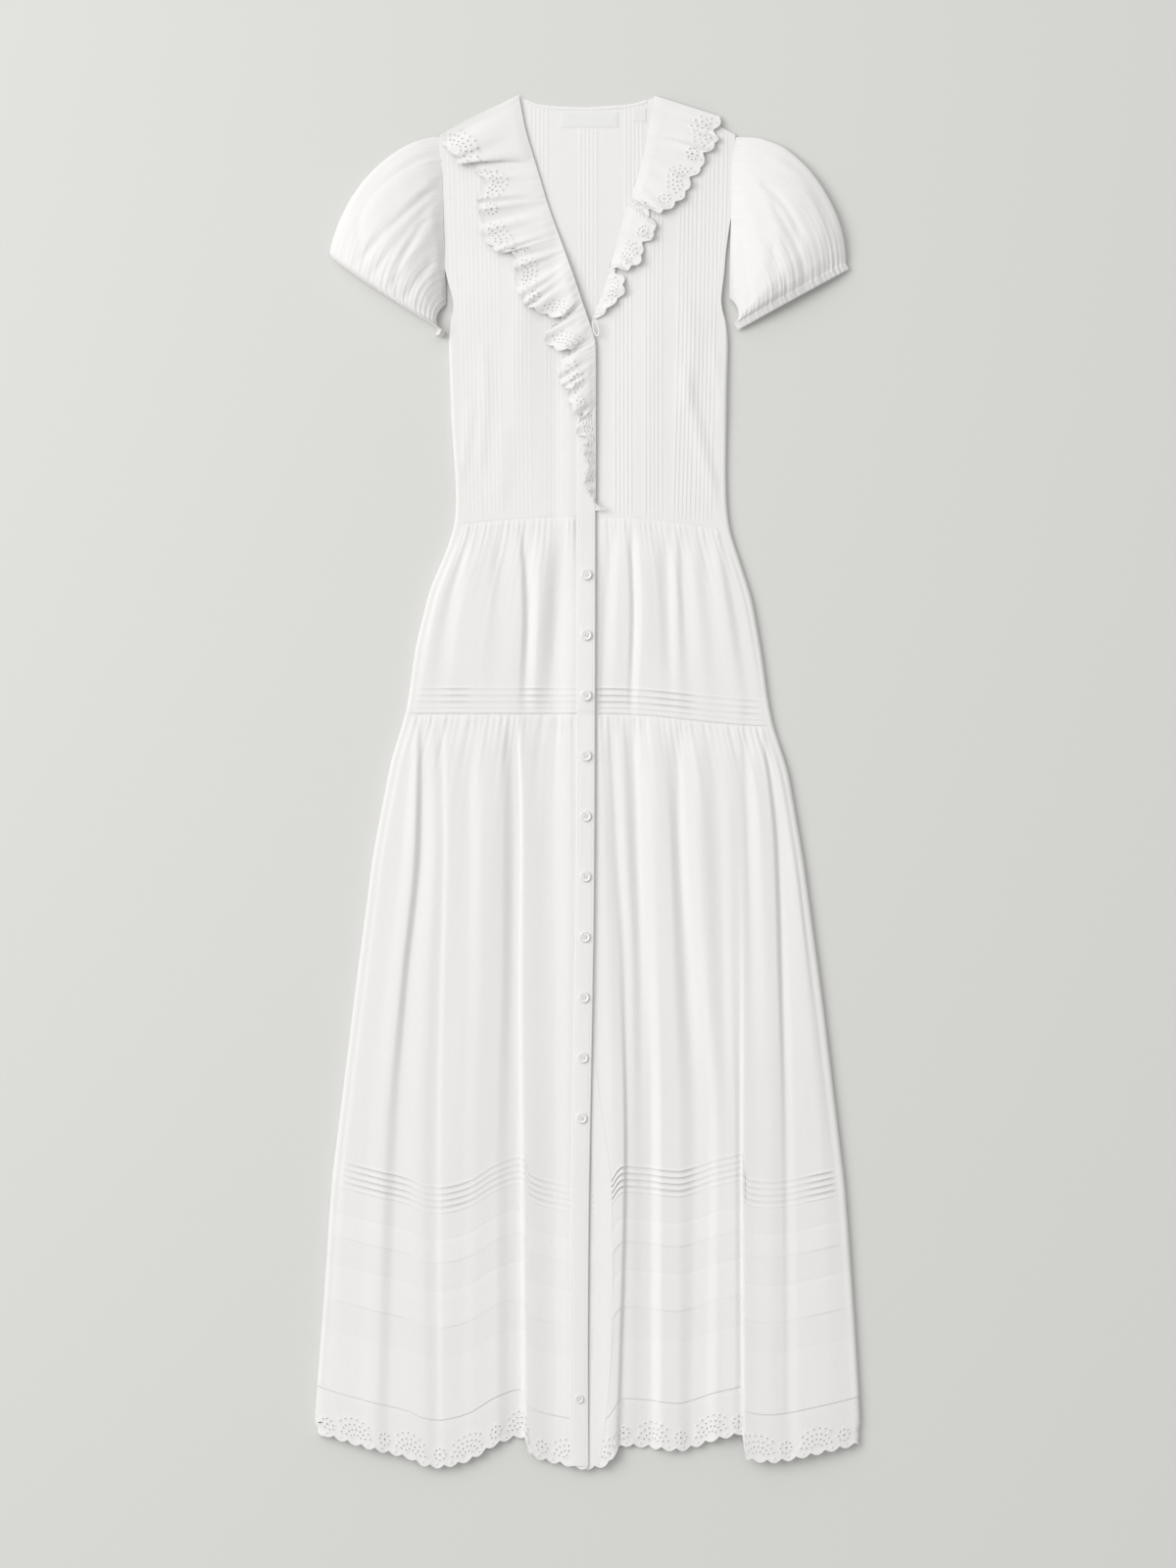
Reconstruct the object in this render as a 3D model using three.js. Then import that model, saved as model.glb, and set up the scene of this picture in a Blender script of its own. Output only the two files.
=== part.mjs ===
// A long tiered cotton dress, laid flat on its back, front upwards.
// Millimetres. +Y runs from hem to neck, +X to the viewer's right, +Z up from the surface.
// "left" is -X and "right" is +X. The origin is the bottom centre of the whole dress.
import * as THREE from 'three';

// ---- driving dimensions -------------------------------------------------------------------

const WALL = 1.2;          // thickness of every cloth wall
const SEAM_GAP = 0.4;      // space between two pieces at a seam
const PITCH = 1.7;         // from the middle of one layer to the middle of the next
const FLOOR = WALL / 2;    // middle of the lowest layer
const PUFF = 4;            // how far the front stands up beside its side fold
const BACK_PUFF = 1.5;
const PUFF_REACH = 18;
const FLAT_FROM = -12.5;   // the strip that lies flat under the button band and its under band
const FLAT_TO = 26;
const FLAT_EASE = 9;       // from there to full folds
const STEP_FROM = 5;       // beyond the turned-under part, where the layers above it come down
const STEP_TO = 18;
const LEAST_LOFT = 1;      // the front's least height over the layers beneath it
const TIER_LOFT = 2.5;     // its height between the folds of the tiers
const BODICE_LOFT = 0.8;
const LOFT_FROM = 200;     // heights on the dress between which the one passes into the other
const LOFT_TO = 256;
const FOLDS_FROM = 4;      // folds begin this far inside the side fold
const FOLDS_FULL = 22;     // and are full this far inside it
const BAND_WIDTH = 17;
const BUTTON_COUNT = 10;
const BUTTON_PITCH = 58.4;
const FIRST_BUTTON_Y = 201;
const BUTTON_RADIUS = 5.1;
const BUTTON_HEIGHT = 2;
const HEM_BUTTON_Y = -596;
const HEM_BUTTON_RADIUS = 4;
const BAND_TOP = 424;
const BAND_FOOT = 4;       // the bands stop this far above the hem
const BAND_STEPS = 19;
const BAND_INSET = 0.4;    // the bands stop this far inside the fronts' edges
const RUFFLE_WAVE = 6;
const RUFFLE_LIFT = 0.8;   // further rise of the ruffles' free edges
const RUFFLE_STEP = -34;   // from here to the flat strip a ruffle rises on to the band
const CUFF_WIDTH = 6;
const HEM_Y = -665;
const SIDE_X = 265;        // where a seam's height is read for the side folds
const BACK_INSET = 2;      // the back's turned-under parts stop this far short of the front's
const SLEEVE_SEGMENTS = 20;

const UNDERARM_Y = 455;
const WAIST_Y = 258;
const WAIST_REACH = 137;   // the waist seam droops over this distance to each side
const WAIST_DROOP_LEFT = 9;
const WAIST_DROOP_RIGHT = 14;
const TIER_SEAM_Y = 67;
const TIER_SEAM_DROOP = 12;
const SIDES_TOP = 520;     // above this no part of the sides lies turned under

// Small rectangles of cloth, flat on the layer beneath.
const NECK_LABEL = { fromX: -25.5, toX: 30, fromY: 635, toY: 650 };
const CARE_LABEL = { fromX: 44, toX: 57.5, fromY: 640.4, toY: 653.9 };
const NECK_LOOP = { fromX: 6.9, toX: 13.5, fromY: 431, toY: 447 };

// The neck binding's ends, beyond the lowest part of the back's neckline.
const BINDING_WIDTH = 3;
const BINDING_REACH = 50;
const BINDING_ENDS = [{ x: -58, y: 662 }, { x: 58, y: 662 }];

// The tucks of the lower tier, each as its distance above the hem.
const BORDER_TOP = 46.5;
const TUCKS = [
  { stitched: 221, edge: 198.5 },
  { stitched: 171, edge: 136 },
  { stitched: 106.5, edge: BORDER_TOP },
];
const TUCK_RISE = 2;
const LAST_PINTUCK = 247;

// Side folds of the dress at each height, and how far the sides are turned under.
const SIDES = [
  { y: -636, left: -265.5, right: 266, flap: 108 },
  { y: -500, left: -255, right: 257.7, flap: 105 },
  { y: -350, left: -244, right: 246, flap: 102 },
  { y: -190, left: -223, right: 225.5, flap: 98 },
  { y: -60, left: -206, right: 207.5, flap: 94 },
  { y: 8, left: -194, right: 195.7, flap: 92 },
  { y: 62, left: -176.5, right: 178.5, flap: 90 },
  { y: 130, left: -166.5, right: 168.5, flap: 87 },
  { y: 192, left: -151, right: 156.5, flap: 84 },
  { y: 250, left: -128, right: 137, flap: 80 },
  { y: 350, left: -131.5, right: 135.2, flap: 70 },
  { y: 455, left: -135, right: 137.5, flap: 60 },
];

// How far the flat front reaches at each height: armhole above, side fold's top below.
const FRONT_REACH = [
  { y: 250, left: -122.5, right: 131.3 },
  { y: 350, left: -126, right: 129.8 },
  { y: 455, left: -129.6, right: 132 },
  { y: 500, left: -140, right: 133.5 },
  { y: 560, left: -145.5, right: 145 },
  { y: 626, left: -150, right: 153 },
  { y: 670, left: -152, right: 154 },
];

// Top edges of the bodice fronts, from the front edge up the V, along the shoulder, down the armhole.
const TOP_LEFT = [
  { x: 8.5, y: 428 }, { x: -2, y: 457 }, { x: -10.5, y: 483 }, { x: -24, y: 521 },
  { x: -38, y: 559 }, { x: -48.5, y: 595 }, { x: -60, y: 632 }, { x: -66, y: 665 },
  { x: -92, y: 654 }, { x: -118, y: 641 }, { x: -144, y: 626 }, { x: -142.4, y: 570 },
  { x: -138.5, y: 500 },
];
const TOP_RIGHT = [
  { x: -9, y: 430 }, { x: 4, y: 446 }, { x: 16, y: 477 }, { x: 25, y: 510 },
  { x: 36, y: 551 }, { x: 46, y: 577 }, { x: 54, y: 605 }, { x: 65, y: 664 },
  { x: 92, y: 653 }, { x: 119, y: 641 }, { x: 146, y: 626 }, { x: 143.5, y: 575 },
  { x: 132, y: 500 },
];
const TOP_BACK = [
  { x: -138.5, y: 500 }, { x: -142.4, y: 570 }, { x: -144, y: 626 }, { x: -118, y: 641 },
  { x: -92, y: 654 }, { x: -66, y: 665 }, { x: -48, y: 657 }, { x: -32, y: 655 },
  { x: 0, y: 654 }, { x: 32, y: 656 }, { x: 48, y: 658 }, { x: 65, y: 664 },
  { x: 92, y: 653 }, { x: 119, y: 641 }, { x: 146, y: 626 }, { x: 143.5, y: 575 },
  { x: 132, y: 500 },
];

// Front edges: of the left front with its button band, and of the right front beneath it.
const FRONT_EDGES = [
  { y: -665, over: 1.5, under: -6 },
  { y: -610, over: 1.2, under: 2 },
  { y: -560, over: 1, under: 7 },
  { y: -420, over: 1.8, under: 8 },
  { y: -340, over: 3, under: 2 },
  { y: -290, over: 4, under: -9 },
  { y: -100, over: 7, under: -9 },
  { y: 430, over: 8.5, under: -9 },
];

// Large folds of the two gathered tiers, from the seam above to the edge below.
const UPPER_FOLDS = [
  { name: 'side ridge left', top: -112, bottom: -148, width: 9, rise: 4 },
  { name: 'ridge left', top: -92, bottom: -106, width: 10, rise: 3 },
  { name: 'valley left', top: -61, bottom: -62, width: 6, rise: -2.2 },
  { name: 'ridge beside it', top: -48, bottom: -50, width: 9, rise: 4 },
  { name: 'short valley left', top: -24, bottom: -38, width: 5, rise: -1.8 },
  { name: 'ridge right', top: 29, bottom: 27, width: 8, rise: 3 },
  { name: 'valley right', top: 42, bottom: 41, width: 6, rise: -2.2 },
  { name: 'ridge beyond it', top: 52, bottom: 56, width: 9, rise: 4 },
  { name: 'middle ridge right', top: 86, bottom: 96, width: 10, rise: 3 },
  { name: 'side valley right', top: 116, bottom: 146, width: 8, rise: -2 },
];
const LOWER_FOLDS = [
  { name: 'edge ridge left', top: -160, bottom: -232, width: 14, rise: 4 },
  { name: 'valley beside it', top: -143, bottom: -196, width: 10, rise: -2 },
  { name: 'ridge left', top: -122, bottom: -160, width: 15, rise: 4 },
  { name: 'inner ridge left', top: -98, bottom: -110, width: 14, rise: 5 },
  { name: 'deep valley left', top: -71, bottom: -76, width: 11, rise: -2.3 },
  { name: 'centre ridge', top: -48, bottom: -44, width: 14, rise: 4 },
  { name: 'deep valley right', top: 44, bottom: 47, width: 9, rise: -2.3 },
  { name: 'ridge right', top: 62, bottom: 73, width: 15, rise: 6 },
  { name: 'second valley', top: 90, bottom: 106, width: 12, rise: -2.3 },
  { name: 'second ridge', top: 116, bottom: 134, width: 13, rise: 5 },
  { name: 'third valley', top: 136, bottom: 152, width: 6, rise: -2.3 },
  { name: 'side ridge right', top: 152, bottom: 182, width: 14, rise: 6 },
  { name: 'outer ridge right', top: 170, bottom: 232, width: 15, rise: 5 },
];

// Lower edge of the dress.
const HEM = [
  { x: -266, y: -631 }, { x: -231, y: -642 }, { x: -195, y: -650 }, { x: -153, y: -659 },
  { x: -120, y: -660 }, { x: -90, y: -640 }, { x: -62, y: -638 }, { x: -40, y: -659 },
  { x: 2, y: HEM_Y }, { x: 20, y: -662 }, { x: 44, y: -645 }, { x: 82, y: -647 },
  { x: 120, y: -637 }, { x: 146, y: -630 }, { x: 158, y: -655 }, { x: 182, y: -659 },
  { x: 218, y: -646 }, { x: 266, y: -635 },
];

// Sleeve stations from the armhole to the cuff: the outer and inner ends of each ring.
const SLEEVE_LEFT = [
  { outerX: -145.5, outerY: 627, innerX: -137.5, innerY: 462, height: 6 },
  { outerX: -163, outerY: 623, innerX: -137.2, innerY: 457, height: 14.5 },
  { outerX: -186, outerY: 611, innerX: -137, innerY: 453, height: 21 },
  { outerX: -211, outerY: 589.5, innerX: -137, innerY: 449, height: 23.5 },
  { outerX: -232, outerY: 560, innerX: -137.3, innerY: 445, height: 23.5 },
  { outerX: -245, outerY: 530, innerX: -138, innerY: 441, height: 20 },
  { outerX: -251, outerY: 506, innerX: -139, innerY: 437, height: 13.5 },
];
const SLEEVE_RIGHT = [
  { outerX: 146.7, outerY: 626, innerX: 138.6, innerY: 468, height: 6 },
  { outerX: 166, outerY: 625, innerX: 139.6, innerY: 463, height: 14.5 },
  { outerX: 190, outerY: 616, innerX: 140, innerY: 459, height: 21 },
  { outerX: 214, outerY: 595, innerX: 140.3, innerY: 455, height: 23.5 },
  { outerX: 236, outerY: 562, innerX: 140.6, innerY: 451, height: 23.5 },
  { outerX: 248, outerY: 530, innerX: 141, innerY: 447, height: 20 },
  { outerX: 251, outerY: 503, innerX: 141.6, innerY: 443, height: 13.5 },
];

// Ruffle stations: the seam on the neckline or front edge, and the free edge.
const RUFFLE_LEFT = [
  { seamX: -66, seamY: 665.5, edgeX: -143.5, edgeY: 628 },
  { seamX: -64.5, seamY: 655, edgeX: -140, edgeY: 614 },
  { seamX: -62, seamY: 642, edgeX: -130, edgeY: 601 },
  { seamX: -59, seamY: 628, edgeX: -117, edgeY: 592 },
  { seamX: -55, seamY: 615, edgeX: -107, edgeY: 580 },
  { seamX: -51, seamY: 602, edgeX: -105, edgeY: 565 },
  { seamX: -46.5, seamY: 588, edgeX: -104, edgeY: 549 },
  { seamX: -42, seamY: 573, edgeX: -100, edgeY: 532 },
  { seamX: -36.5, seamY: 556, edgeX: -88, edgeY: 516 },
  { seamX: -30, seamY: 538, edgeX: -75, edgeY: 503 },
  { seamX: -23.5, seamY: 520, edgeX: -68, edgeY: 488 },
  { seamX: -16, seamY: 498, edgeX: -60, edgeY: 468 },
  { seamX: -9.5, seamY: 480, edgeX: -45, edgeY: 450 },
  { seamX: -1.5, seamY: 456, edgeX: -39, edgeY: 433 },
  { seamX: 6, seamY: 433, edgeX: -31, edgeY: 416 },
  { seamX: 7.5, seamY: 412, edgeX: -27, edgeY: 399 },
  { seamX: 7.5, seamY: 390, edgeX: -21, edgeY: 379 },
  { seamX: 7.5, seamY: 366, edgeX: -13, edgeY: 358 },
  { seamX: 7.5, seamY: 338, edgeX: -8, edgeY: 334 },
  { seamX: 7.5, seamY: 312, edgeX: -6, edgeY: 309 },
  { seamX: 8, seamY: 288, edgeX: -5, edgeY: 286 },
  { seamX: 9, seamY: 264, edgeX: -3, edgeY: 263 },
];
const RUFFLE_RIGHT = [
  { seamX: 65.5, seamY: 664.5, edgeX: 131.5, edgeY: 644 },
  { seamX: 63.5, seamY: 653, edgeX: 130, edgeY: 630 },
  { seamX: 61, seamY: 641, edgeX: 122, edgeY: 612 },
  { seamX: 58.5, seamY: 628, edgeX: 113, edgeY: 597 },
  { seamX: 56, seamY: 614, edgeX: 101, edgeY: 583 },
  { seamX: 53, seamY: 600, edgeX: 92, edgeY: 568 },
  { seamX: 48.5, seamY: 585, edgeX: 82, edgeY: 555 },
  { seamX: 44.5, seamY: 570, edgeX: 73, edgeY: 541 },
  { seamX: 39.5, seamY: 558, edgeX: 66, edgeY: 527 },
  { seamX: 35, seamY: 545, edgeX: 59, edgeY: 514 },
  { seamX: 29.5, seamY: 526, edgeX: 49, edgeY: 499 },
  { seamX: 24, seamY: 507, edgeX: 39, edgeY: 483 },
  { seamX: 17, seamY: 480, edgeX: 28, edgeY: 466 },
  { seamX: 10, seamY: 460, edgeX: 18, edgeY: 452 },
];

const BODICE_ROWS = [0, 0.14, 0.32, 0.52, 0.72, 0.88, 1];
const UPPER_ROWS = [0, 0.12, 0.35, 0.65, 0.88, 1];
const LOWER_ROWS = [0, 0.1, 0.3, 0.6, 1];
const TURN_ANGLES = [55, 0, -55, -90];
const UPPER_COLUMNS = { middle: 4, side: 7 };
const LOWER_COLUMNS = { middle: 7, side: 7 };
const BACK_COLUMNS = { middle: 4, side: 2 };

const COLOUR = { cotton: 0xf3f1ed, doubled: 0xf7f5f1, label: 0xf4f3f0, button: 0xf6f3ea };

// ---- small mathematics --------------------------------------------------------------------

function mix(from, to, part) {
  return from + (to - from) * part;
}

function smoothStep(from, to, value) {
  const part = THREE.MathUtils.clamp((value - from) / (to - from), 0, 1);
  return part * part * (3 - 2 * part);
}

function bump(distance, width) {
  return Math.exp(-((distance / width) ** 2));
}

// Reads one named column of a table at a key between its rows, along a smooth curve.
function readTable(table, key, column, where) {
  const last = table.length - 1;
  const value = THREE.MathUtils.clamp(where, table[0][key], table[last][key]);
  let row = 0;
  while (row < last - 1 && value > table[row + 1][key]) row += 1;
  const slope = (index) => {
    const before = table[Math.max(index - 1, 0)];
    const after = table[Math.min(index + 1, last)];
    return (after[column] - before[column]) / (after[key] - before[key]);
  };
  const low = table[row];
  const high = table[row + 1];
  const step = high[key] - low[key];
  const part = (value - low[key]) / step;
  const square = part * part;
  const cube = square * part;
  return (2 * cube - 3 * square + 1) * low[column] + (cube - 2 * square + part) * step * slope(row)
    + (3 * square - 2 * cube) * high[column] + (cube - square) * step * slope(row + 1);
}

function foldX(side, y) {
  return readTable(SIDES, 'y', side < 0 ? 'left' : 'right', y);
}

function flapWidth(y) {
  return readTable(SIDES, 'y', 'flap', y);
}

// Seam between bodice and upper tier, and between the two tiers, as heights along X.
function waistAt(x) {
  const droop = x < 0 ? WAIST_DROOP_LEFT : WAIST_DROOP_RIGHT;
  return WAIST_Y - droop * Math.min(Math.abs(x / WAIST_REACH), 1) ** 2;
}

function tierSeamAt(x) {
  return TIER_SEAM_Y - TIER_SEAM_DROOP * smoothStep(20, 180, x);
}

function hemAt(x) {
  return readTable(HEM, 'x', 'y', x);
}

// ---- heights of the layers ----------------------------------------------------------------

// 0 where the sides lie single, 1 where they lie on their own turned-under part.
function layered(side, x, y) {
  const inward = Math.abs(foldX(side, y) - x);
  const flap = flapWidth(y);
  return smoothStep(flap + STEP_TO, flap + STEP_FROM, inward) * smoothStep(SIDES_TOP, UNDERARM_Y + 5, y);
}

function sidePuff(side, x, y) {
  return bump(foldX(side, y) - x, PUFF_REACH) * smoothStep(SIDES_TOP, UNDERARM_Y, y);
}

function tierFolds(table, x, y, seamY, edgeY) {
  const part = THREE.MathUtils.clamp((seamY - y) / (seamY - edgeY), 0, 1);
  let height = 0;
  for (const fold of table) height += fold.rise * bump(x - mix(fold.top, fold.bottom, part), fold.width);
  return height;
}

// 0 on the flat strip under the bands, 1 where the front folds freely.
function besideBand(x) {
  return 1 - smoothStep(FLAT_FROM - FLAT_EASE, FLAT_FROM, x) * smoothStep(FLAT_TO + FLAT_EASE, FLAT_TO, x);
}

// Height of the front above its lowest place, from its gathers' large folds and its tucks.
function foldHeight(side, x, y) {
  const inward = Math.abs(foldX(side, y) - x);
  const mask = besideBand(x) * smoothStep(FOLDS_FROM, FOLDS_FULL, inward);
  const loft = mix(TIER_LOFT, BODICE_LOFT, smoothStep(LOFT_FROM, LOFT_TO, y));
  if (y > WAIST_Y - 20) return loft;
  const seam = tierSeamAt(x);
  if (y > seam) {
    const strength = smoothStep(waistAt(x), waistAt(x) - 40, y) * smoothStep(seam, seam + 30, y);
    const folds = mask * strength * tierFolds(UPPER_FOLDS, x, y, WAIST_Y, TIER_SEAM_Y);
    return Math.max(loft + folds, LEAST_LOFT);
  }
  const strength = smoothStep(seam, seam - 45, y);
  const folds = mask * strength * tierFolds(LOWER_FOLDS, x, y, TIER_SEAM_Y, HEM_Y);
  return Math.max(loft + folds, LEAST_LOFT);
}

function frontHeight(side, x, y) {
  const lapped = side < 0 ? 2 * PITCH * smoothStep(FLAT_FROM - FLAT_EASE, FLAT_FROM, x) : 0;
  const stacked = 2 * PITCH * layered(side, x, y);
  const puffed = PUFF * sidePuff(side, x, y);
  return FLOOR + PITCH + stacked + lapped + puffed + foldHeight(side, x, y);
}

function backHeight(x, y) {
  const side = x < 0 ? -1 : 1;
  return FLOOR + 2 * PITCH * layered(side, x, y) + BACK_PUFF * sidePuff(side, x, y);
}

// ---- walls ---------------------------------------------------------------------------------

// A closed wall from a grid of { at, out } points, half its thickness to each side.
// With round = true, each row closes on itself, as in a sleeve.
function wallGeometry(grid, round = false, thickness = WALL) {
  const rows = grid.length;
  const columns = grid[0].length;
  const positions = [];
  for (const layer of [0.5, -0.5]) {
    for (const row of grid) {
      for (const { at, out } of row) {
        const moved = at.clone().addScaledVector(out, layer * thickness);
        positions.push(moved.x, moved.y, moved.z);
      }
    }
  }
  const under = rows * columns;
  const index = [];
  const point = (number) => new THREE.Vector3().fromArray(positions, 3 * number);
  const apart = (a, b) => point(a).distanceTo(point(b));
  const quad = (a, b, c, d) => {
    if (apart(a, c) <= apart(b, d)) index.push(a, b, c, a, c, d);
    else index.push(a, b, d, b, c, d);
  };
  const cells = round ? columns : columns - 1;
  for (let row = 0; row < rows - 1; row += 1) {
    for (let column = 0; column < cells; column += 1) {
      const a = row * columns + column;
      const b = row * columns + (column + 1) % columns;
      quad(a, b, b + columns, a + columns);
      quad(under + a, under + a + columns, under + b + columns, under + b);
    }
  }
  for (let column = 0; column < cells; column += 1) {
    const next = (column + 1) % columns;
    const lastRow = (rows - 1) * columns;
    quad(column, under + column, under + next, next);
    quad(lastRow + next, under + lastRow + next, under + lastRow + column, lastRow + column);
  }
  if (!round) {
    for (let row = 0; row < rows - 1; row += 1) {
      const a = row * columns;
      const b = a + columns - 1;
      quad(a + columns, under + a + columns, under + a, a);
      quad(b, under + b, under + b + columns, b + columns);
    }
  }
  return outwardGeometry(positions, index);
}

// Turns the triangles round where the solid came out inside-out.
function outwardGeometry(positions, index) {
  const corner = (number) => new THREE.Vector3().fromArray(positions, 3 * index[number]);
  let volume = 0;
  for (let number = 0; number < index.length; number += 3) {
    volume += corner(number).dot(corner(number + 1).cross(corner(number + 2)));
  }
  if (volume < 0) {
    for (let number = 0; number < index.length; number += 3) {
      [index[number + 1], index[number + 2]] = [index[number + 2], index[number + 1]];
    }
  }
  const geometry = new THREE.BufferGeometry();
  geometry.setAttribute('position', new THREE.Float32BufferAttribute(positions, 3));
  geometry.setIndex(index);
  geometry.computeVertexNormals();
  return geometry;
}

const UP = new THREE.Vector3(0, 0, 1);
const DOWN = new THREE.Vector3(0, 0, -1);

function flatPoint(x, y, z) {
  return { at: new THREE.Vector3(x, y, z), out: UP };
}

// The side fold and turned-under part of a front (or, inside it, of the back) at one height.
function turnedPoints(side, y, topZ, bottomZ, inset) {
  const points = [];
  const radius = (topZ - bottomZ) / 2;
  const centreX = turnCentre(side, y);
  for (const degrees of TURN_ANGLES) {
    const angle = THREE.MathUtils.degToRad(degrees);
    const out = new THREE.Vector3(side * Math.cos(angle), 0, Math.sin(angle));
    const at = new THREE.Vector3(centreX, y, bottomZ + radius).addScaledVector(out, radius);
    points.push({ at, out });
  }
  const seamX = foldX(side, y) - side * (flapWidth(y) - inset);
  points.push({ at: new THREE.Vector3(seamX, y, bottomZ), out: DOWN });
  return points;
}

// Middle of the front's round side fold.
function turnCentre(side, y) {
  const edge = foldX(side, y);
  const radius = (frontHeight(side, edge, y) - FLOOR) / 2;
  return edge - side * (radius + WALL / 2);
}

function frontRow(side, y, columns) {
  return [
    ...columns.map(({ x, rowY }) => flatPoint(x, rowY, frontHeight(side, x, rowY))),
    ...turnedPoints(side, y, frontHeight(side, foldX(side, y), y), FLOOR, 0),
  ];
}

function innerEdge(side, y) {
  return readTable(FRONT_EDGES, 'y', side < 0 ? 'over' : 'under', y);
}

// One row of a tier's front, from its front edge to the side fold, at heights rowAt(x).
function tierFrontRow(side, rowAt, count) {
  const y = rowAt(side * SIDE_X);
  const reach = turnCentre(side, y);
  const flatX = side < 0 ? FLAT_FROM : FLAT_TO;
  const freeX = flatX + side * FLAT_EASE;
  const [low, high] = stepPlaces(side, y);
  const places = [
    innerEdge(side, rowAt(0)),
    flatX,
    ...spread(freeX, low, count.middle),
    ...spread(high, reach, count.side),
  ];
  return frontRow(side, y, places.map((x) => ({ x, rowY: rowAt(x) })));
}

function spread(from, to, count) {
  return [...Array(count + 1).keys()].map((number) => mix(from, to, number / count));
}

// Where the layers come down beside the turned-under part: the lower and the upper place.
function stepPlaces(side, y) {
  const seamX = foldX(side, y) - side * flapWidth(y);
  return [seamX - side * STEP_TO, seamX - side * STEP_FROM];
}

function tierBackRow(rowAt, count) {
  const ends = [-1, 1].map((side) => {
    const y = rowAt(side * SIDE_X);
    const topZ = backHeight(foldX(side, y), y);
    return turnedPoints(side, y, topZ, FLOOR + PITCH, BACK_INSET);
  });
  const sideYs = [rowAt(-SIDE_X), rowAt(SIDE_X)];
  const [lowLeft, highLeft] = stepPlaces(-1, sideYs[0]);
  const [lowRight, highRight] = stepPlaces(1, sideYs[1]);
  const places = [
    ...spread(turnCentre(-1, sideYs[0]), highLeft, count.side),
    ...spread(lowLeft, lowRight, count.middle),
    ...spread(highRight, turnCentre(1, sideYs[1]), count.side),
  ];
  const middle = places.map((x) => flatPoint(x, rowAt(x), backHeight(x, rowAt(x))));
  return [...ends[0].reverse(), ...middle, ...ends[1]];
}

// ---- bodice --------------------------------------------------------------------------------

function reachAt(side, y) {
  return readTable(FRONT_REACH, 'y', side < 0 ? 'left' : 'right', y);
}

// Follows one lengthwise line of the bodice down from a point on its top edge.
function bodiceColumn(top, part) {
  const side = top.x < 0 ? -1 : 1;
  const share = top.x / reachAt(side, top.y);
  const y = mix(top.y, waistAt(share * reachAt(side, WAIST_Y)) + SEAM_GAP / 2, part);
  return { x: share * reachAt(side, y), rowY: y };
}

// The lengthwise line where the bodice's side fold begins.
function bodiceLastColumn(side, turnY, part) {
  const x = turnCentre(side, turnY);
  return { x, rowY: mix(UNDERARM_Y, waistAt(x) + SEAM_GAP / 2, part) };
}

function bodiceFront(side, topEdge) {
  return BODICE_ROWS.map((part) => {
    const columns = topEdge.map((top) => bodiceColumn(top, part));
    const edgeY = columns[0].rowY;
    columns[0].x = innerEdge(side, edgeY);
    const turnY = mix(UNDERARM_Y, waistAt(side * SIDE_X) + SEAM_GAP / 2, part);
    columns.push(bodiceLastColumn(side, turnY, part));
    return frontRow(side, turnY, columns);
  });
}

function bodiceBack() {
  return BODICE_ROWS.map((part) => {
    const ends = [-1, 1].map((side) => {
      const y = mix(UNDERARM_Y, waistAt(side * SIDE_X) + SEAM_GAP / 2, part);
      const turn = turnedPoints(side, y, backHeight(foldX(side, y), y), FLOOR + PITCH, BACK_INSET);
      const { x, rowY } = bodiceLastColumn(side, y, part);
      return [flatPoint(x, rowY, backHeight(x, rowY)), ...turn];
    });
    const middle = TOP_BACK.map((top) => bodiceColumn(top, part));
    const points = middle.map(({ x, rowY }) => flatPoint(x, rowY, backHeight(x, rowY)));
    return [...ends[0].reverse(), ...points, ...ends[1]];
  });
}

// ---- tiers and hem border ------------------------------------------------------------------

// Rows of the upper tier between the waist seam and the tier seam.
function upperTierRows() {
  const top = (x) => waistAt(x) - SEAM_GAP / 2;
  const bottom = (x) => tierSeamAt(x) + SEAM_GAP / 2;
  return UPPER_ROWS.map((part) => (x) => mix(top(x), bottom(x), part));
}

// Rows of the lower tier down to its last tuck; the tucks' edges stand proud of the cloth below.
function lowerTierRows() {
  const rowAt = (above) => (x) => hemAt(x) + above;
  const top = (x) => tierSeamAt(x) - SEAM_GAP / 2;
  const plain = (part) => (x) => mix(top(x), rowAt(LAST_PINTUCK)(x), part);
  const rows = LOWER_ROWS.map((part) => ({ y: plain(part), rise: 0 }));
  for (const tuck of TUCKS) {
    rows.push({ y: rowAt(tuck.stitched), rise: 0 });
    rows.push({ y: rowAt(tuck.edge + SEAM_GAP / 2), rise: TUCK_RISE });
    if (tuck.edge > BORDER_TOP) rows.push({ y: rowAt(tuck.edge - 1), rise: 0 });
  }
  return rows;
}

function lowerTierFront(side) {
  return lowerTierRows().map((row) => {
    const points = tierFrontRow(side, row.y, LOWER_COLUMNS);
    for (const { at } of points.filter(({ out }) => out === UP)) {
      const inside = smoothStep(0, 12, Math.abs(turnCentre(side, at.y) - at.x));
      at.z += row.rise * besideBand(at.x) * inside;
    }
    return points;
  });
}

function lowerTierBack() {
  const rows = lowerTierRows();
  const kept = [...rows.slice(0, LOWER_ROWS.length), rows[rows.length - 1]];
  return kept.map((row) => tierBackRow(row.y, BACK_COLUMNS));
}

function borderRows() {
  return [BORDER_TOP - SEAM_GAP / 2, 0].map((above) => (x) => hemAt(x) + above);
}

// ---- bands, ruffles, labels, buttons -------------------------------------------------------

// A band sewn on along a front edge, made from the front's own points moved out by one layer.
function band(side) {
  const level = side < 0 ? FLOOR + 3 * PITCH : FLOOR + PITCH;
  return spread(BAND_TOP, HEM_Y + BAND_FOOT, BAND_STEPS).map((y) => {
    const edge = innerEdge(side, y);
    const z = level + foldHeight(side, 0, y) + PITCH;
    return [BAND_INSET, BAND_WIDTH / 2, BAND_WIDTH].map((across) => flatPoint(edge + side * across, y, z));
  });
}

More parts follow.
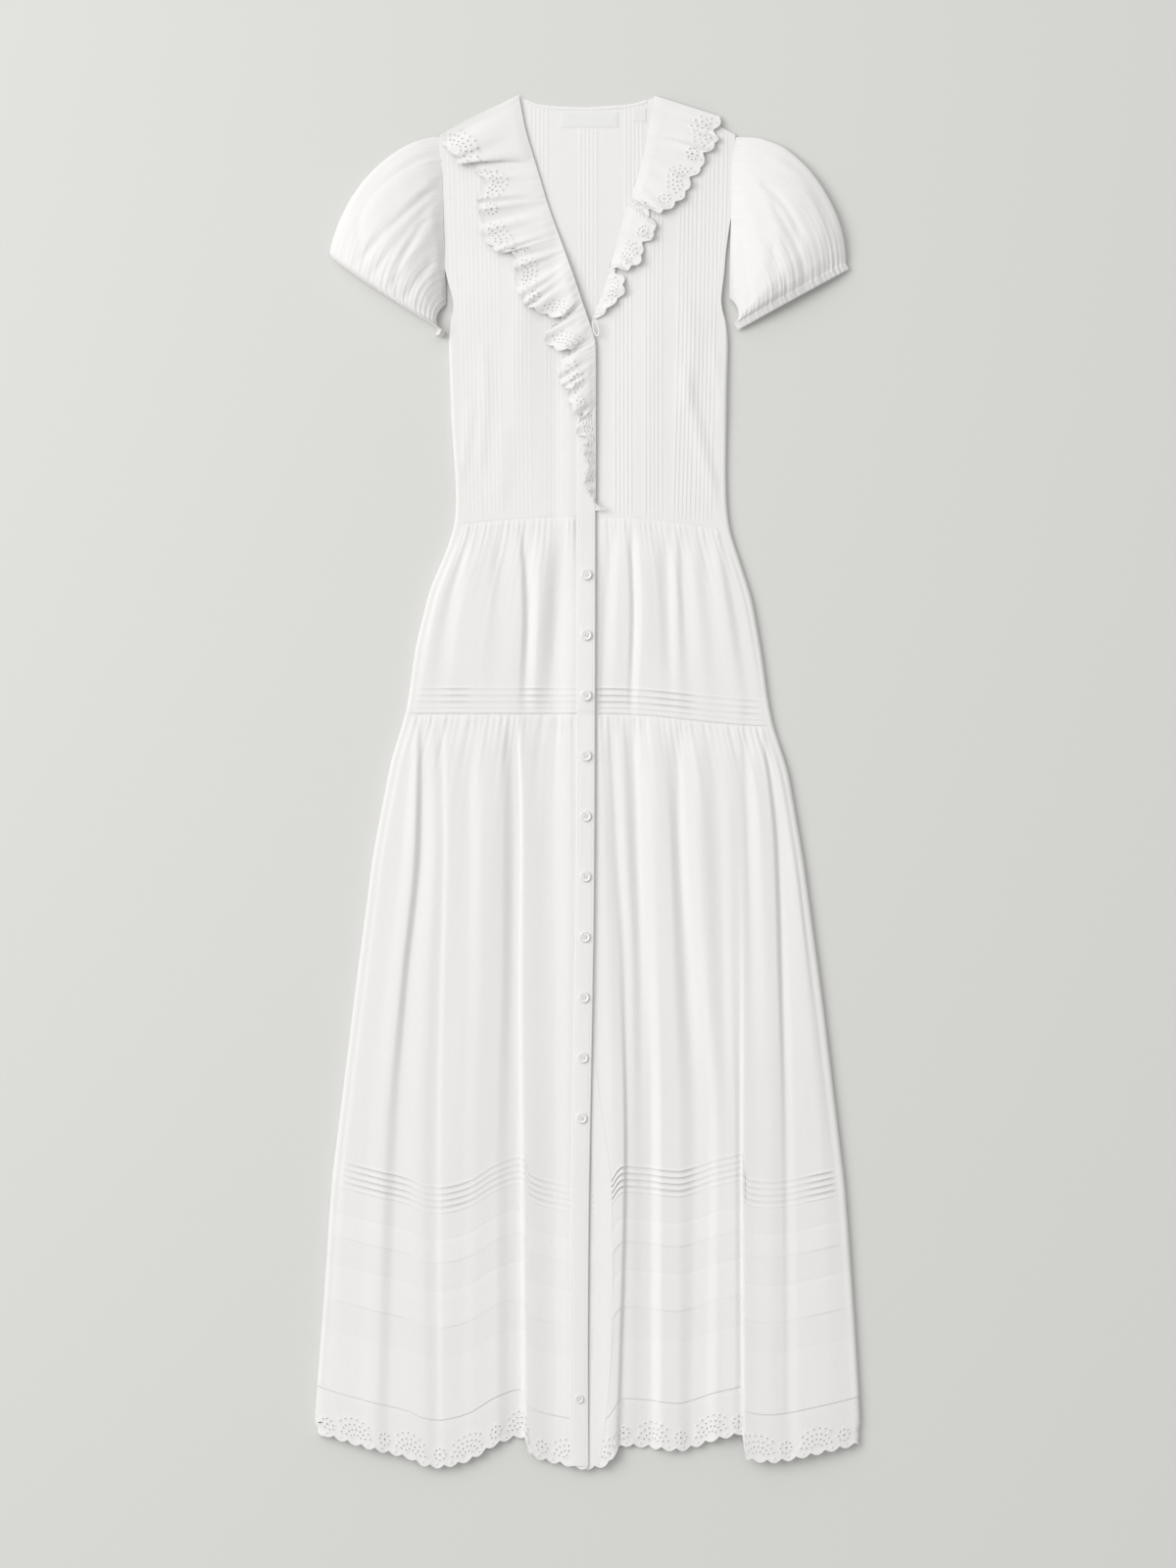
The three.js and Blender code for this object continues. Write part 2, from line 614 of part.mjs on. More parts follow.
// A gathered ruffle, lying on its front and rising to its free edge in waves.
function ruffle(side, stations, waves) {
  const last = stations.length - 1;
  return stations.map((station, number) => [0, 0.3, 0.65, 1].map((part) => {
    const x = mix(station.seamX, station.edgeX, part);
    const y = mix(station.seamY, station.edgeY, part);
    const onBand = side < 0 ? PITCH * smoothStep(RUFFLE_STEP, FLAT_FROM, x) : 0;
    const phase = 2 * Math.PI * waves * (number / last);
    const wave = RUFFLE_WAVE * part * (0.5 - 0.5 * Math.cos(phase));
    return flatPoint(x, y, frontHeight(side, x, y) + PITCH + onBand + wave + RUFFLE_LIFT * part);
  }));
}

// A puffed tube, pressed flat beneath: rings between an outer and an inner end.
function sleeveRing(station) {
  const outer = new THREE.Vector3(station.outerX, station.outerY, 0);
  const inner = new THREE.Vector3(station.innerX, station.innerY, 0);
  const along = inner.clone().sub(outer).divideScalar(2);
  const middle = outer.clone().add(along);
  const half = along.length() - WALL / 2;
  along.normalize();
  const centreZ = FLOOR + 0.36 * station.height;
  const ring = [];
  for (let number = 0; number < SLEEVE_SEGMENTS; number += 1) {
    const angle = 2 * Math.PI * number / SLEEVE_SEGMENTS;
    const pinch = Math.cos(angle);
    const crown = Math.sin(angle);
    const top = 0.64 * station.height * Math.abs(crown) ** 0.8;
    const z = crown > 0 ? centreZ + top : Math.max(FLOOR, centreZ - top);
    const at = middle.clone().addScaledVector(along, half * pinch);
    at.z = z;
    const flat = crown < 0 && z <= FLOOR ? 0 : 1;
    const out = along.clone().multiplyScalar(pinch * Math.abs(pinch) * flat);
    out.z = crown;
    ring.push({ at, out: out.normalize() });
  }
  return ring;
}

function cuffRings(stations) {
  const last = stations[stations.length - 1];
  const before = stations[stations.length - 2];
  const step = new THREE.Vector2(
    last.outerX + last.innerX - before.outerX - before.innerX,
    last.outerY + last.innerY - before.outerY - before.innerY,
  ).normalize();
  const axis = new THREE.Vector2(last.innerX - last.outerX, last.innerY - last.outerY).normalize();
  const forward = new THREE.Vector2(axis.y, -axis.x);
  if (forward.dot(step) < 0) forward.negate();
  return [SEAM_GAP, SEAM_GAP + CUFF_WIDTH].map((distance) => sleeveRing({
    outerX: last.outerX + forward.x * distance,
    outerY: last.outerY + forward.y * distance,
    innerX: last.innerX + forward.x * distance,
    innerY: last.innerY + forward.y * distance,
    height: last.height,
  }));
}

// A small rectangle of cloth lying on another, its middle at the given height.
function patch({ fromX, toX, fromY, toY }, z) {
  return [toY, fromY].map((y) => [fromX, mix(fromX, toX, 0.5), toX].map((x) => flatPoint(x, y, z)));
}

// The binding follows the back neck's edge.
function neckBinding() {
  const edge = TOP_BACK.filter((point) => Math.abs(point.x) < BINDING_REACH);
  const line = [BINDING_ENDS[0], ...edge, BINDING_ENDS[1]];
  const row = (drop) => line.map(({ x, y }) => flatPoint(x, y - drop, FLOOR + PITCH));
  return [row(0), row(BINDING_WIDTH)];
}

function buttonGeometry(radius, height) {
  const profile = [[0, 0], [radius - 0.6, 0], [radius, height / 2], [radius - 0.6, height], [0, height]];
  const lathe = new THREE.LatheGeometry(profile.map(([r, z]) => new THREE.Vector2(r, z)), 12);
  return lathe.rotateX(Math.PI / 2);
}

// ---- the dress -----------------------------------------------------------------------------

const dress = new THREE.Group();

function add(name, geometry, colour, roughness = 0.92) {
  const material = new THREE.MeshStandardMaterial({ color: colour, roughness, metalness: 0 });
  const mesh = new THREE.Mesh(geometry, material);
  mesh.name = name;
  dress.add(mesh);
  return mesh;
}

for (const [word, side, topEdge, sleeve, stations, waves] of [
  ['left', -1, TOP_LEFT, SLEEVE_LEFT, RUFFLE_LEFT, 7],
  ['right', 1, TOP_RIGHT, SLEEVE_RIGHT, RUFFLE_RIGHT, 5],
]) {
  add(`bodice_front_${word}`, wallGeometry(bodiceFront(side, topEdge)), COLOUR.cotton);
  const upper = upperTierRows().map((rowAt) => tierFrontRow(side, rowAt, UPPER_COLUMNS));
  add(`upper_tier_${word}`, wallGeometry(upper), COLOUR.cotton);
  add(`lower_tier_${word}`, wallGeometry(lowerTierFront(side)), COLOUR.cotton);
  const border = borderRows().map((rowAt) => tierFrontRow(side, rowAt, LOWER_COLUMNS));
  add(`hem_border_${word}`, wallGeometry(border), COLOUR.cotton);
  add(`sleeve_${word}`, wallGeometry(sleeve.map(sleeveRing), true), COLOUR.cotton);
  add(`cuff_${word}`, wallGeometry(cuffRings(sleeve), true), COLOUR.doubled);
  add(`neck_ruffle_${word}`, wallGeometry(ruffle(side, stations, waves)), COLOUR.cotton);
}

add('bodice_back', wallGeometry(bodiceBack()), COLOUR.cotton);
const backOf = (rows) => wallGeometry(rows.map((rowAt) => tierBackRow(rowAt, BACK_COLUMNS)));
add('upper_tier_back', backOf(upperTierRows()), COLOUR.cotton);
add('lower_tier_back', wallGeometry(lowerTierBack()), COLOUR.cotton);
add('hem_border_back', backOf(borderRows()), COLOUR.cotton);
add('button_placket', wallGeometry(band(-1)), COLOUR.doubled);
add('under_placket', wallGeometry(band(1)), COLOUR.doubled);
add('neck_binding', wallGeometry(neckBinding()), COLOUR.doubled);
add('neck_label', wallGeometry(patch(NECK_LABEL, FLOOR + PITCH)), COLOUR.label);
add('care_label', wallGeometry(patch(CARE_LABEL, FLOOR + PITCH)), COLOUR.label);

const loopHeight = frontHeight(1, NECK_LOOP.fromX, NECK_LOOP.toY) + PITCH;
add('neck_loop', wallGeometry(patch(NECK_LOOP, loopHeight)), COLOUR.doubled);

const bandTop = (y) => FLOOR + 4 * PITCH + foldHeight(-1, 0, y) + WALL / 2;

function placeButton(name, y, radius) {
  const x = innerEdge(-1, y) - BAND_WIDTH / 2;
  const button = add(name, buttonGeometry(radius, BUTTON_HEIGHT), COLOUR.button, 0.35);
  button.position.set(x, y, bandTop(y) + SEAM_GAP);
}

for (let number = 0; number < BUTTON_COUNT; number += 1) {
  const name = `button_${String(number + 1).padStart(2, '0')}`;
  placeButton(name, FIRST_BUTTON_Y - BUTTON_PITCH * number, BUTTON_RADIUS);
}
placeButton('hem_button', HEM_BUTTON_Y, HEM_BUTTON_RADIUS);

// The bottom centre of the whole dress is the origin.
const box = new THREE.Box3().setFromObject(dress, true);
const centre = box.getCenter(new THREE.Vector3());
dress.position.set(-centre.x, -centre.y, -box.min.z);
dress.updateMatrixWorld(true);

export default dress;
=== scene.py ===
import math
from collections import namedtuple

import bpy
import numpy as np
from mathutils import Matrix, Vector
from mathutils.geometry import delaunay_2d_cdt


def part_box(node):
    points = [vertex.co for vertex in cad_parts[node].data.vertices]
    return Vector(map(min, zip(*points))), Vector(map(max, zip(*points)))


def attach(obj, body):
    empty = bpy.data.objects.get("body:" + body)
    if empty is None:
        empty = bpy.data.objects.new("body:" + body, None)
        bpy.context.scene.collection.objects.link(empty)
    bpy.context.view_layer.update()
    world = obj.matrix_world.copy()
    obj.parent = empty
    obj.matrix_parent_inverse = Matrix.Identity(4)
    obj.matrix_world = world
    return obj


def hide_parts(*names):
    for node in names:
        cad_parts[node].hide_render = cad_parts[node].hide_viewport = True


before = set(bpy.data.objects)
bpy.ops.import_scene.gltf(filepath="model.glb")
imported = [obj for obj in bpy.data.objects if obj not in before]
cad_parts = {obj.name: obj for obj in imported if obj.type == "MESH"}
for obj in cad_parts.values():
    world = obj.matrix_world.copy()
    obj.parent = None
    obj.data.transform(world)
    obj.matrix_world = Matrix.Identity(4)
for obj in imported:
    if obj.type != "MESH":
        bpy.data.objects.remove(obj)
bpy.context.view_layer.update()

MM = 0.001
X, Y, Z = 0, 1, 2

# ---- driving dimensions --------------------------------------------------------------------

CLOTH = 0.5             # thickness of one layer as drawn
DOUBLED = 0.9           # a band of folded cloth
FLOOR = 0.45            # middle of the lowest layer
PITCH = 1.7             # from one layer to the next
SEAM_LOFT = 1.2         # how far the front stands above its lowest place at a gathered seam
BODICE_LOFT = 0.9
SEAM_EASE = 16          # the bodice rises to the waist seam over this height
STACK_EASE = 60         # the front comes down over this width beside the turned-under sides
LAP_FROM, LAP_TO = -34, -14     # the left front rises over the right one between these places
BAND_WIDTH = 17
BORDER_TOP = 46.5       # height of the broderie border above the hem's edge
BORDER_LAP = 3          # how far the border reaches up under the last tuck
LAST_PINTUCK = 247      # lowest of the tier's pintucks, above the hem
PINTUCK_PITCH = 6.2
PINTUCK_RISE = 0.34
TUCK_RISE = 0.42
LAST_TUCK_RISE = 0.12
SCALLOP = 14.4          # width of one scallop of the broderie edge
SCALLOP_DEPTH = 3.4
RIM_RISE = 0.3

Row = namedtuple("Row", "at rise doubled")
Fold = namedtuple("Fold", "name places heights")
Tuck = namedtuple("Tuck", "stitched edge")
Hem = namedtuple("Hem", "out above")
Crease = namedtuple("Crease", "start middle end depth width")
Rib = namedtuple("Rib", "along x y lift")
Group = namedtuple("Group", "name tucks until shoulder chest waist")
Eyelet = namedtuple("Eyelet", "s t radius")

TUCKS = [Tuck(221, 198.5), Tuck(171, 136), Tuck(106.5, BORDER_TOP)]

# Folds of the lower tier from the middle outwards. Places are distances out, and heights stand
# above the front's lowest place, both at the five levels. The first and last follow the frame.
LOWER_LEVELS = [62, -60, -190, -350, -640]
LOWER_LEFT = [
    Fold("front edge", None, (2.6, 3.75, 3.75, 3.75, 3.75)),
    Fold("beside band", (14, 14, 15, 16, 16), (2.6, 3.75, 3.75, 3.8, 3.9)),
    Fold("centre hollow", (36, 36, 36, 37, 36), (2.2, 3.0, 3.8, 4.4, 4.6)),
    Fold("centre crest", (65, 62.6, 63.4, 62, 59.5), (3.0, 5.8, 6.4, 7.2, 7.4)),
    Fold("centre wall foot", (69, 65.1, 66, 64.5, 62), (1.2, 0.9, 0.8, 0.7, 0.7)),
    Fold("deep valley", (73.5, 70.4, 72, 75, 75), (0.9, 0.8, 1.2, 2.3, 2.4)),
    Fold("valley shoulder", (84, 82.8, 84, 89, 88), (3.0, 4.8, 5.5, 6.1, 6.1)),
    Fold("inner ridge", (101, 101.7, 102, 107, 107.5), (3.5, 5.8, 6.0, 6.5, 6.5)),
    Fold("soft valley", (118, 115, 118, 121, 122), (2.6, 3.4, 4.2, 5.2, 5.4)),
    Fold("groove flank", (136.8, 134.9, 137.8, 140.6, 139), (3.0, 4.4, 4.4, 4.7, 4.9)),
    Fold("thin groove", (142, 139.9, 143, 146.3, 145.4), (2.0, 3.1, 3.2, 3.5, 3.9)),
    Fold("outer flank", (149, 147.5, 154, 160, 158), (3.0, 3.8, 4.2, 4.8, 5.2)),
    Fold("drop foot", (159, 160.6, 173, 184, 192), (1.9, 1.5, 1.9, 2.8, 4.4)),
    Fold("fold crest", (164.5, 168, 181, 196, 205), (3.4, 6.2, 6.2, 5.8, 6.4)),
    Fold("edge hollow", (168.5, 180, 196, 213, 224), (2.8, 3.8, 4.2, 4.3, 4.6)),
    Fold("edge crest", (172, 195, 212, 233, 243), (2.5, 3.5, 3.7, 3.9, 3.9)),
    Fold("side", None, (2.0, 2.6, 2.8, 3.0, 3.0)),
]
LOWER_RIGHT = [
    Fold("front edge", None, (2.6, 3.75, 3.75, 4.0, 5.0)),
    Fold("beside band", (9, 9.5, 10, 12, 12), (2.6, 3.6, 3.8, 5.2, 6.4)),
    Fold("under ridge", (14.3, 17, 21, 27, 21), (2.8, 4.2, 5.4, 7.4, 8.4)),
    Fold("ridge lip", (18.8, 22.4, 30.4, 34.8, 27.6), (2.4, 3.4, 4.4, 7.2, 8.0)),
    Fold("hollow beside it", (22, 28.3, 36.2, 38.2, 31.4), (1.5, 1.8, 2.3, 3.6, 3.8)),
    Fold("low ridge", (31, 37, 43, 44, 40), (3.0, 4.0, 3.2, 3.2, 3.4)),
    Fold("deep valley", (44.2, 48, 52, 54, 53), (0.7, 0.5, 0.7, 1.3, 1.4)),
    Fold("valley wall", (49.5, 54.4, 58, 61.5, 61), (3.2, 3.4, 2.2, 0.7, 0.7)),
    Fold("ridge", (58, 65.6, 69.4, 72, 72), (4.0, 6.6, 6.6, 6.4, 6.2)),
    Fold("ridge shoulder", (72.2, 78.9, 82.7, 88, 86.5), (3.4, 5.8, 6.2, 6.4, 6.2)),
    Fold("broad valley", (86.5, 89.6, 97.2, 105.5, 101.7), (1.8, 0.8, 0.8, 2.8, 3.8)),
    Fold("valley flank", (93.1, 97.4, 107.4, 116.9, 113), (3.0, 4.4, 3.6, 3.4, 3.8)),
    Fold("second ridge", (105.5, 109.3, 115.9, 126.4, 124.5), (4.0, 7.0, 5.7, 5.6, 6.4)),
    Fold("slack", (121, 127.3, 131, 134, 132), (3.0, 4.0, 3.6, 5.4, 5.8)),
    Fold("overlapped crest", (134, 138.7, 140, 142.4, 143), (3.4, 5.2, 5.0, 5.6, 5.8)),
    Fold("overlap groove", (141, 145, 147.5, 148.4, 149.8), (3.2, 4.8, 4.4, 3.4, 3.6)),
    Fold("panel lip", (145.5, 150, 151, 150.4, 151.8), (3.0, 4.4, 5.6, 7.0, 7.2)),
    Fold("panel hollow", (150.5, 155.8, 158.7, 162, 163), (2.2, 3.2, 4.8, 6.6, 6.6)),
    Fold("panel ridge", (158.7, 168, 173.5, 176.7, 176.7), (3.2, 6.8, 6.8, 7.0, 6.8)),
    Fold("fold lip", (165.3, 179.2, 183.4, 187, 188.5), (3.0, 6.2, 6.2, 6.0, 6.0)),
    Fold("drop foot", (169, 184.5, 188.6, 192.5, 194.5), (1.8, 2.0, 2.4, 4.2, 5.2)),
    Fold("outer hollow", (172, 190.5, 196, 201.5, 206), (2.2, 2.8, 3.9, 5.4, 6.4)),
    Fold("outer ridge", (175, 200, 211, 224, 234), (2.6, 4.4, 5.0, 5.4, 5.4)),
    Fold("side", None, (2.0, 2.6, 2.8, 3.0, 3.0)),
]

# The hem's line: heights above its lowest place, at distances out from the middle. It steps where
# one fold of the cloth lies over the next.
HEM_LEFT = [
    Hem(-8, 0), Hem(0, 0), Hem(20, 3.5), Hem(40, 7.5), Hem(56.5, 15), Hem(60.5, 28.5), Hem(66, 30),
    Hem(86, 24.5), Hem(115, 8), Hem(130, 3.5), Hem(144, 1.5), Hem(158, 3.5), Hem(174, 10.5),
    Hem(200, 17), Hem(226, 23.5), Hem(262, 34),
]
HEM_RIGHT = [
    Hem(-10, 0), Hem(1, 0), Hem(18, 3.5), Hem(24, 10), Hem(29, 18), Hem(34, 22), Hem(60, 20),
    Hem(88, 17.5), Hem(104, 21), Hem(123, 28), Hem(140, 32), Hem(149.5, 34), Hem(153, 11),
    Hem(162, 8), Hem(176, 7), Hem(193, 8.5), Hem(210, 12), Hem(240, 18.5), Hem(264, 24),
]

# Folds of the upper tier, at the waist, half way down and at its pintucks.
UPPER_LEVELS = [240, 165, 80]
UPPER_LEFT = [
    Fold("front edge", None, (1.9, 3.4, 3.2)),
    Fold("beside band", (12, 12, 13), (1.9, 3.2, 3.0)),
    Fold("slanting valley", (20.5, 26.5, 37), (1.0, 1.6, 1.8)),
    Fold("tall ridge", (44.5, 47, 50.5), (3.6, 6.0, 3.2)),
    Fold("deep valley", (61.5, 57.5, 61), (0.6, 0.5, 1.4)),
    Fold("valley shoulder", (66.5, 64, 68), (3.0, 4.4, 2.6)),
    Fold("short valley", (82.5, 84.5, 89), (1.6, 3.5, 2.3)),
    Fold("middle ridge", (94, 99, 105.5), (3.6, 4.6, 2.6)),
    Fold("outer ridge", (109.5, 122.5, 132), (4.0, 5.0, 2.6)),
    Fold("outer valley", (116.5, 134, 145), (2.2, 3.0, 2.2)),
    Fold("edge crest", (121.5, 147, 161), (2.8, 4.2, 2.6)),
    Fold("side", None, (1.6, 2.4, 2.0)),
]
UPPER_RIGHT = [
    Fold("front edge", None, (1.9, 3.4, 3.2)),
    Fold("beside band", (11, 11, 11), (1.9, 2.9, 2.8)),
    Fold("slanting valley", (23.5, 17.5, 14), (1.0, 1.7, 2.0)),
    Fold("ridge", (31, 29.5, 26.5), (3.4, 5.0, 3.0)),
    Fold("ridge lip", (38.5, 40, 37.5), (3.0, 4.3, 2.7)),
    Fold("deep valley", (42.6, 45.4, 42.6), (0.7, 0.5, 1.4)),
    Fold("tall ridge", (49.5, 52.5, 49.5), (4.0, 6.3, 3.2)),
    Fold("middle ridge", (65.5, 67.5, 69), (3.6, 5.0, 2.8)),
    Fold("long valley", (77, 78, 80.5), (1.4, 2.8, 2.2)),
    Fold("second ridge", (84.5, 86.5, 88), (3.8, 5.0, 2.8)),
    Fold("second valley", (90.5, 94, 99), (1.8, 3.0, 2.2)),
    Fold("third ridge", (101.5, 107.5, 115), (3.8, 5.0, 2.8)),
    Fold("short valley", (112, 119, 129), (1.8, 3.7, 2.4)),
    Fold("side lip", (122, 134, 146), (3.6, 5.4, 3.0)),
    Fold("side drop", (128, 144, 157), (2.0, 2.6, 2.0)),
    Fold("edge crest", (131.5, 154, 169), (2.0, 3.2, 2.2)),
    Fold("side", None, (1.4, 2.2, 1.8)),
]

# Groups of lengthwise pintucks: how many, how far down they reach, and where each group begins,
# out from the middle, at three levels.
CHEST_LEVELS = [600, 435, 258]
GROUP_PITCH = 3.9
GROUPS_LEFT = [
    Group("beside the front edge", 5, 240, 22, 22.5, 22.8),
    Group("second", 5, 240, 52, 54, 52.5),
    Group("third", 5, 240, 87, 83.5, 80),
    Group("fourth", 5, 240, 107.5, 104, 100.5),
    Group("at the armhole", 2, 455, 129, 124, 120.5),
]
GROUPS_RIGHT = [
    Group("beside the front edge", 5, 240, 24.5, 24.5, 24.7),
    Group("second", 5, 240, 55, 54, 54),
    Group("third", 5, 240, 88, 85.5, 81),
    Group("fourth", 5, 240, 108.5, 105.5, 101.5),
    Group("at the armhole", 2, 455, 129, 125, 121.5),
]
BACK_GROUPS = [-124, -93, -57, -9, 35, 70, 102]     # where each begins on the back, left to right

# Frills at the neck. Each rib runs from the neckline at one height to a place on the free edge,
# which stands above the bodice by lift. A low rib after a high one is cloth folded under.
FRILL_LEFT = [
    Rib(666, -143, 627, 1.6),
    Rib(657, -139.7, 614, 2.6),
    Rib(645, -132, 609, 3.2),
    Rib(627, -127.3, 601.5, 4.6),
    Rib(607, -125, 597.5, 6.0),
    Rib(599, -113, 603, 0.6),
    Rib(595, -110, 593.5, 0.9),
    Rib(585, -101.7, 581, 2.4),
    Rib(576, -105.5, 569.5, 3.2),
    Rib(567, -107.4, 559, 3.0),
    Rib(558, -103.6, 541, 0.7),
    Rib(549, -104.5, 531.5, 3.2),
    Rib(540, -96, 519.2, 4.6),
    Rib(531, -83.6, 511.6, 4.4),
    Rib(523, -74.1, 513.5, 2.6),
    Rib(517, -72.2, 501, 3.0),
    Rib(512, -71.5, 489, 1.6),
    Rib(507, -70.3, 479.3, 0.5),
    Rib(502, -65.6, 471.7, 3.4),
    Rib(495, -61.8, 461, 4.8),
    Rib(486, -50.4, 455.5, 5.2),
    Rib(477, -38, 449.8, 5.2),
    Rib(469, -26.6, 447.9, 5.0),
    Rib(464, -25, 446, 0.6),
    Rib(460, -37, 439.4, 1.4),
    Rib(455, -42.8, 430, 3.0),
    Rib(449, -36, 420.4, 4.4),
    Rib(443, -24.7, 416.6, 4.8),
    Rib(436, -15.2, 418, 4.4),
    Rib(430, -17, 415, 0.6),
    Rib(424, -27.6, 406, 2.0),
    Rib(414, -29.5, 390, 3.6),
    Rib(401, -21.9, 380.5, 4.4),
    Rib(389, -18.1, 366, 4.2),
    Rib(376, -12.4, 355.8, 4.2),
    Rib(366, -5, 353.9, 3.0),
    Rib(358, -10.5, 346, 1.2),
    Rib(346, -11.5, 338, 3.4),
    Rib(332, -2.9, 331, 1.6),
    Rib(318, -5.5, 320, 3.6),
    Rib(304, -1, 306, 1.4),
    Rib(290, -5, 291, 3.4),
    Rib(278, 1.5, 277, 1.8),
    Rib(269, 10, 267, 3.2),
    Rib(263, 22, 263.5, 2.2),
]
FRILL_RIGHT = [
    Rib(665, 131, 643.6, 1.6),
    Rib(656, 127.5, 634, 2.6),
    Rib(648, 124.5, 628.4, 1.0),
    Rib(641, 127.3, 620.8, 3.4),
    Rib(633, 121.6, 612.3, 4.4),
    Rib(624, 114, 606.5, 2.8),
    Rib(615, 113, 595.2, 4.0),
    Rib(606, 100.7, 582.8, 3.6),
    Rib(598, 98.8, 573.3, 4.2),
    Rib(590, 93.1, 564.8, 4.8),
    Rib(582, 81.7, 555.3, 5.2),
    Rib(573, 71, 550, 6.0),
    Rib(566, 60, 554, 0.6),
    Rib(561, 60, 547, 1.2),
    Rib(555, 66, 541, 3.0),
    Rib(548, 66.5, 531.5, 4.4),
    Rib(540, 61.8, 524.9, 4.2),
    Rib(532, 54.2, 519.2, 2.4),
    Rib(524, 54.2, 507.8, 3.6),
    Rib(515, 47.5, 499.2, 4.8),
    Rib(506, 36.1, 494.5, 5.4),
    Rib(498, 27, 498, 5.0),
    Rib(493, 27, 494, 0.6),
    Rib(488, 34.2, 491, 1.8),
    Rib(481, 37, 483.1, 4.0),
    Rib(474, 36.1, 473.6, 4.4),
    Rib(466, 31.4, 467.9, 4.0),
    Rib(457, 18.1, 455, 3.0),
    Rib(450, 11, 448, 1.4),
]

# Creases given one by one: from, through and to a place, with a depth (negative is a ridge).
BODICE_CREASES = [
    Crease((93, 400), (108, 335), (128, 268), -1.5, 7),
    Crease((103, 388), (118, 325), (132, 272), 0.6, 6),
    Crease((124, 416), (129, 380), (131, 345), -0.9, 6),
    Crease((58, 436), (68, 431), (78, 428), -0.6, 5),
    Crease((92, 470), (101, 420), (88, 350), -0.9, 9),
    Crease((-104, 416), (-99, 386), (-105, 300), -0.9, 6),
    Crease((-114, 367), (-116, 338), (-126, 290), -0.8, 6),
    Crease((-60, 470), (-70, 400), (-66, 320), -0.8, 11),
    Crease((-84, 350), (-80, 310), (-88, 270), -0.7, 9),
]
SLEEVE_LEFT_CREASES = [
    Crease((-144, 611), (-207, 568), (-219, 519), 2.2, 4.5),
    Crease((-147, 575), (-189, 537), (-221, 499), 4.2, 4.5),
    Crease((-145, 567), (-180, 525), (-209, 486), 2.6, 4),
    Crease((-156, 545), (-178, 505), (-187, 477), 3.4, 4),
    Crease((-149, 505), (-163, 486), (-178, 464), 3.0, 4.5),
    Crease((-150, 620), (-190, 600), (-232, 540), 1.6, 5),
    Crease((-142, 590), (-172, 560), (-202, 520), -1.6, 5),
    Crease((-146, 545), (-165, 515), (-200, 474), -1.6, 5),
    Crease((-141, 530), (-150, 490), (-160, 458), -1.4, 5),
    Crease((-158, 622), (-215, 580), (-238, 520), -1.2, 6),
]
SLEEVE_RIGHT_CREASES = [
    Crease((167, 579), (188, 560), (207, 523), 4.2, 4),
    Crease((177, 561), (200, 520), (211, 485), 2.8, 4),
    Crease((178, 519), (184, 494), (196, 475), 2.6, 4),
    Crease((142.5, 547), (152, 505), (158, 454), 4.0, 4.5),
    Crease((160, 600), (212, 575), (236, 530), 1.8, 5),
    Crease((150, 618), (198, 600), (244, 540), 1.4, 5),
    Crease((156, 590), (180, 545), (190, 480), -1.6, 5),
    Crease((150, 570), (166, 520), (176, 462), -1.8, 5),
    Crease((175, 605), (215, 565), (228, 500), -1.4, 5),
    Crease((146, 505), (148, 480), (150, 455), 1.8, 4),
]


# ---- small mathematics ---------------------------------------------------------------------

def ramp(low, high, value):
    """0 at low and 1 at high, with a smooth start and end."""
    part = np.clip((np.asarray(value, float) - low) / (high - low), 0, 1)
    return part * part * (3 - 2 * part)


def bump(distance, width):
    return np.exp(-(distance / width) ** 2)


def mix(start, end, part):
    return start + (end - start) * part


def hermite(part, step, low, high, slope_low, slope_high):
    square, cube = part**2, part**3
    return (
        (2 * cube - 3 * square + 1) * low
        + (cube - 2 * square + part) * step * slope_low
        + (3 * square - 2 * cube) * high
        + (cube - square) * step * slope_high
    )


def even_slopes(keys, values):
    """Slopes of a curve through each row of values that never overshoots them."""
    steps = np.diff(keys, axis=0)
    rise = np.diff(values, axis=0) / steps
    slopes = np.zeros_like(values)
    product = rise[:-1] * rise[1:]
    together = np.where(product > 0, rise[:-1] + rise[1:], 1)
    slopes[1:-1] = np.where(product > 0, 2 * product / together, 0)
    slopes[0], slopes[-1] = rise[0], rise[-1]
    return slopes


def curve(keys, values, where):
    """Reads a smooth curve through (keys, values); values may hold several columns."""
    keys = np.asarray(keys, float)
    values = np.asarray(values, float)
    if keys[0] > keys[-1]:
        keys, values = keys[::-1], values[::-1]
    columns = values.reshape(len(keys), -1)
    slopes = even_slopes(np.broadcast_to(keys[:, None], columns.shape), columns)
    where = np.clip(np.asarray(where, float), keys[0], keys[-1])
    index = np.clip(np.searchsorted(keys, where, side="right") - 1, 0, len(keys) - 2)
    step = (keys[index + 1] - keys[index])[..., None]
    part = ((where - keys[index]) / step[..., 0])[..., None]
    read = hermite(part, step, columns[index], columns[index + 1], slopes[index], slopes[index + 1])
    return read[..., 0] if values.ndim == 1 else read


def blurred(values, width):
    """Evens out a list, with a bell of the given width in steps."""
    reach = int(3 * width) + 1
    bell = bump(np.arange(-reach, reach + 1), width)
    padded = np.pad(values, reach, mode="reflect", reflect_type="odd")
    return np.convolve(padded, bell / bell.sum(), mode="valid")


CREASE_STEPS = 72


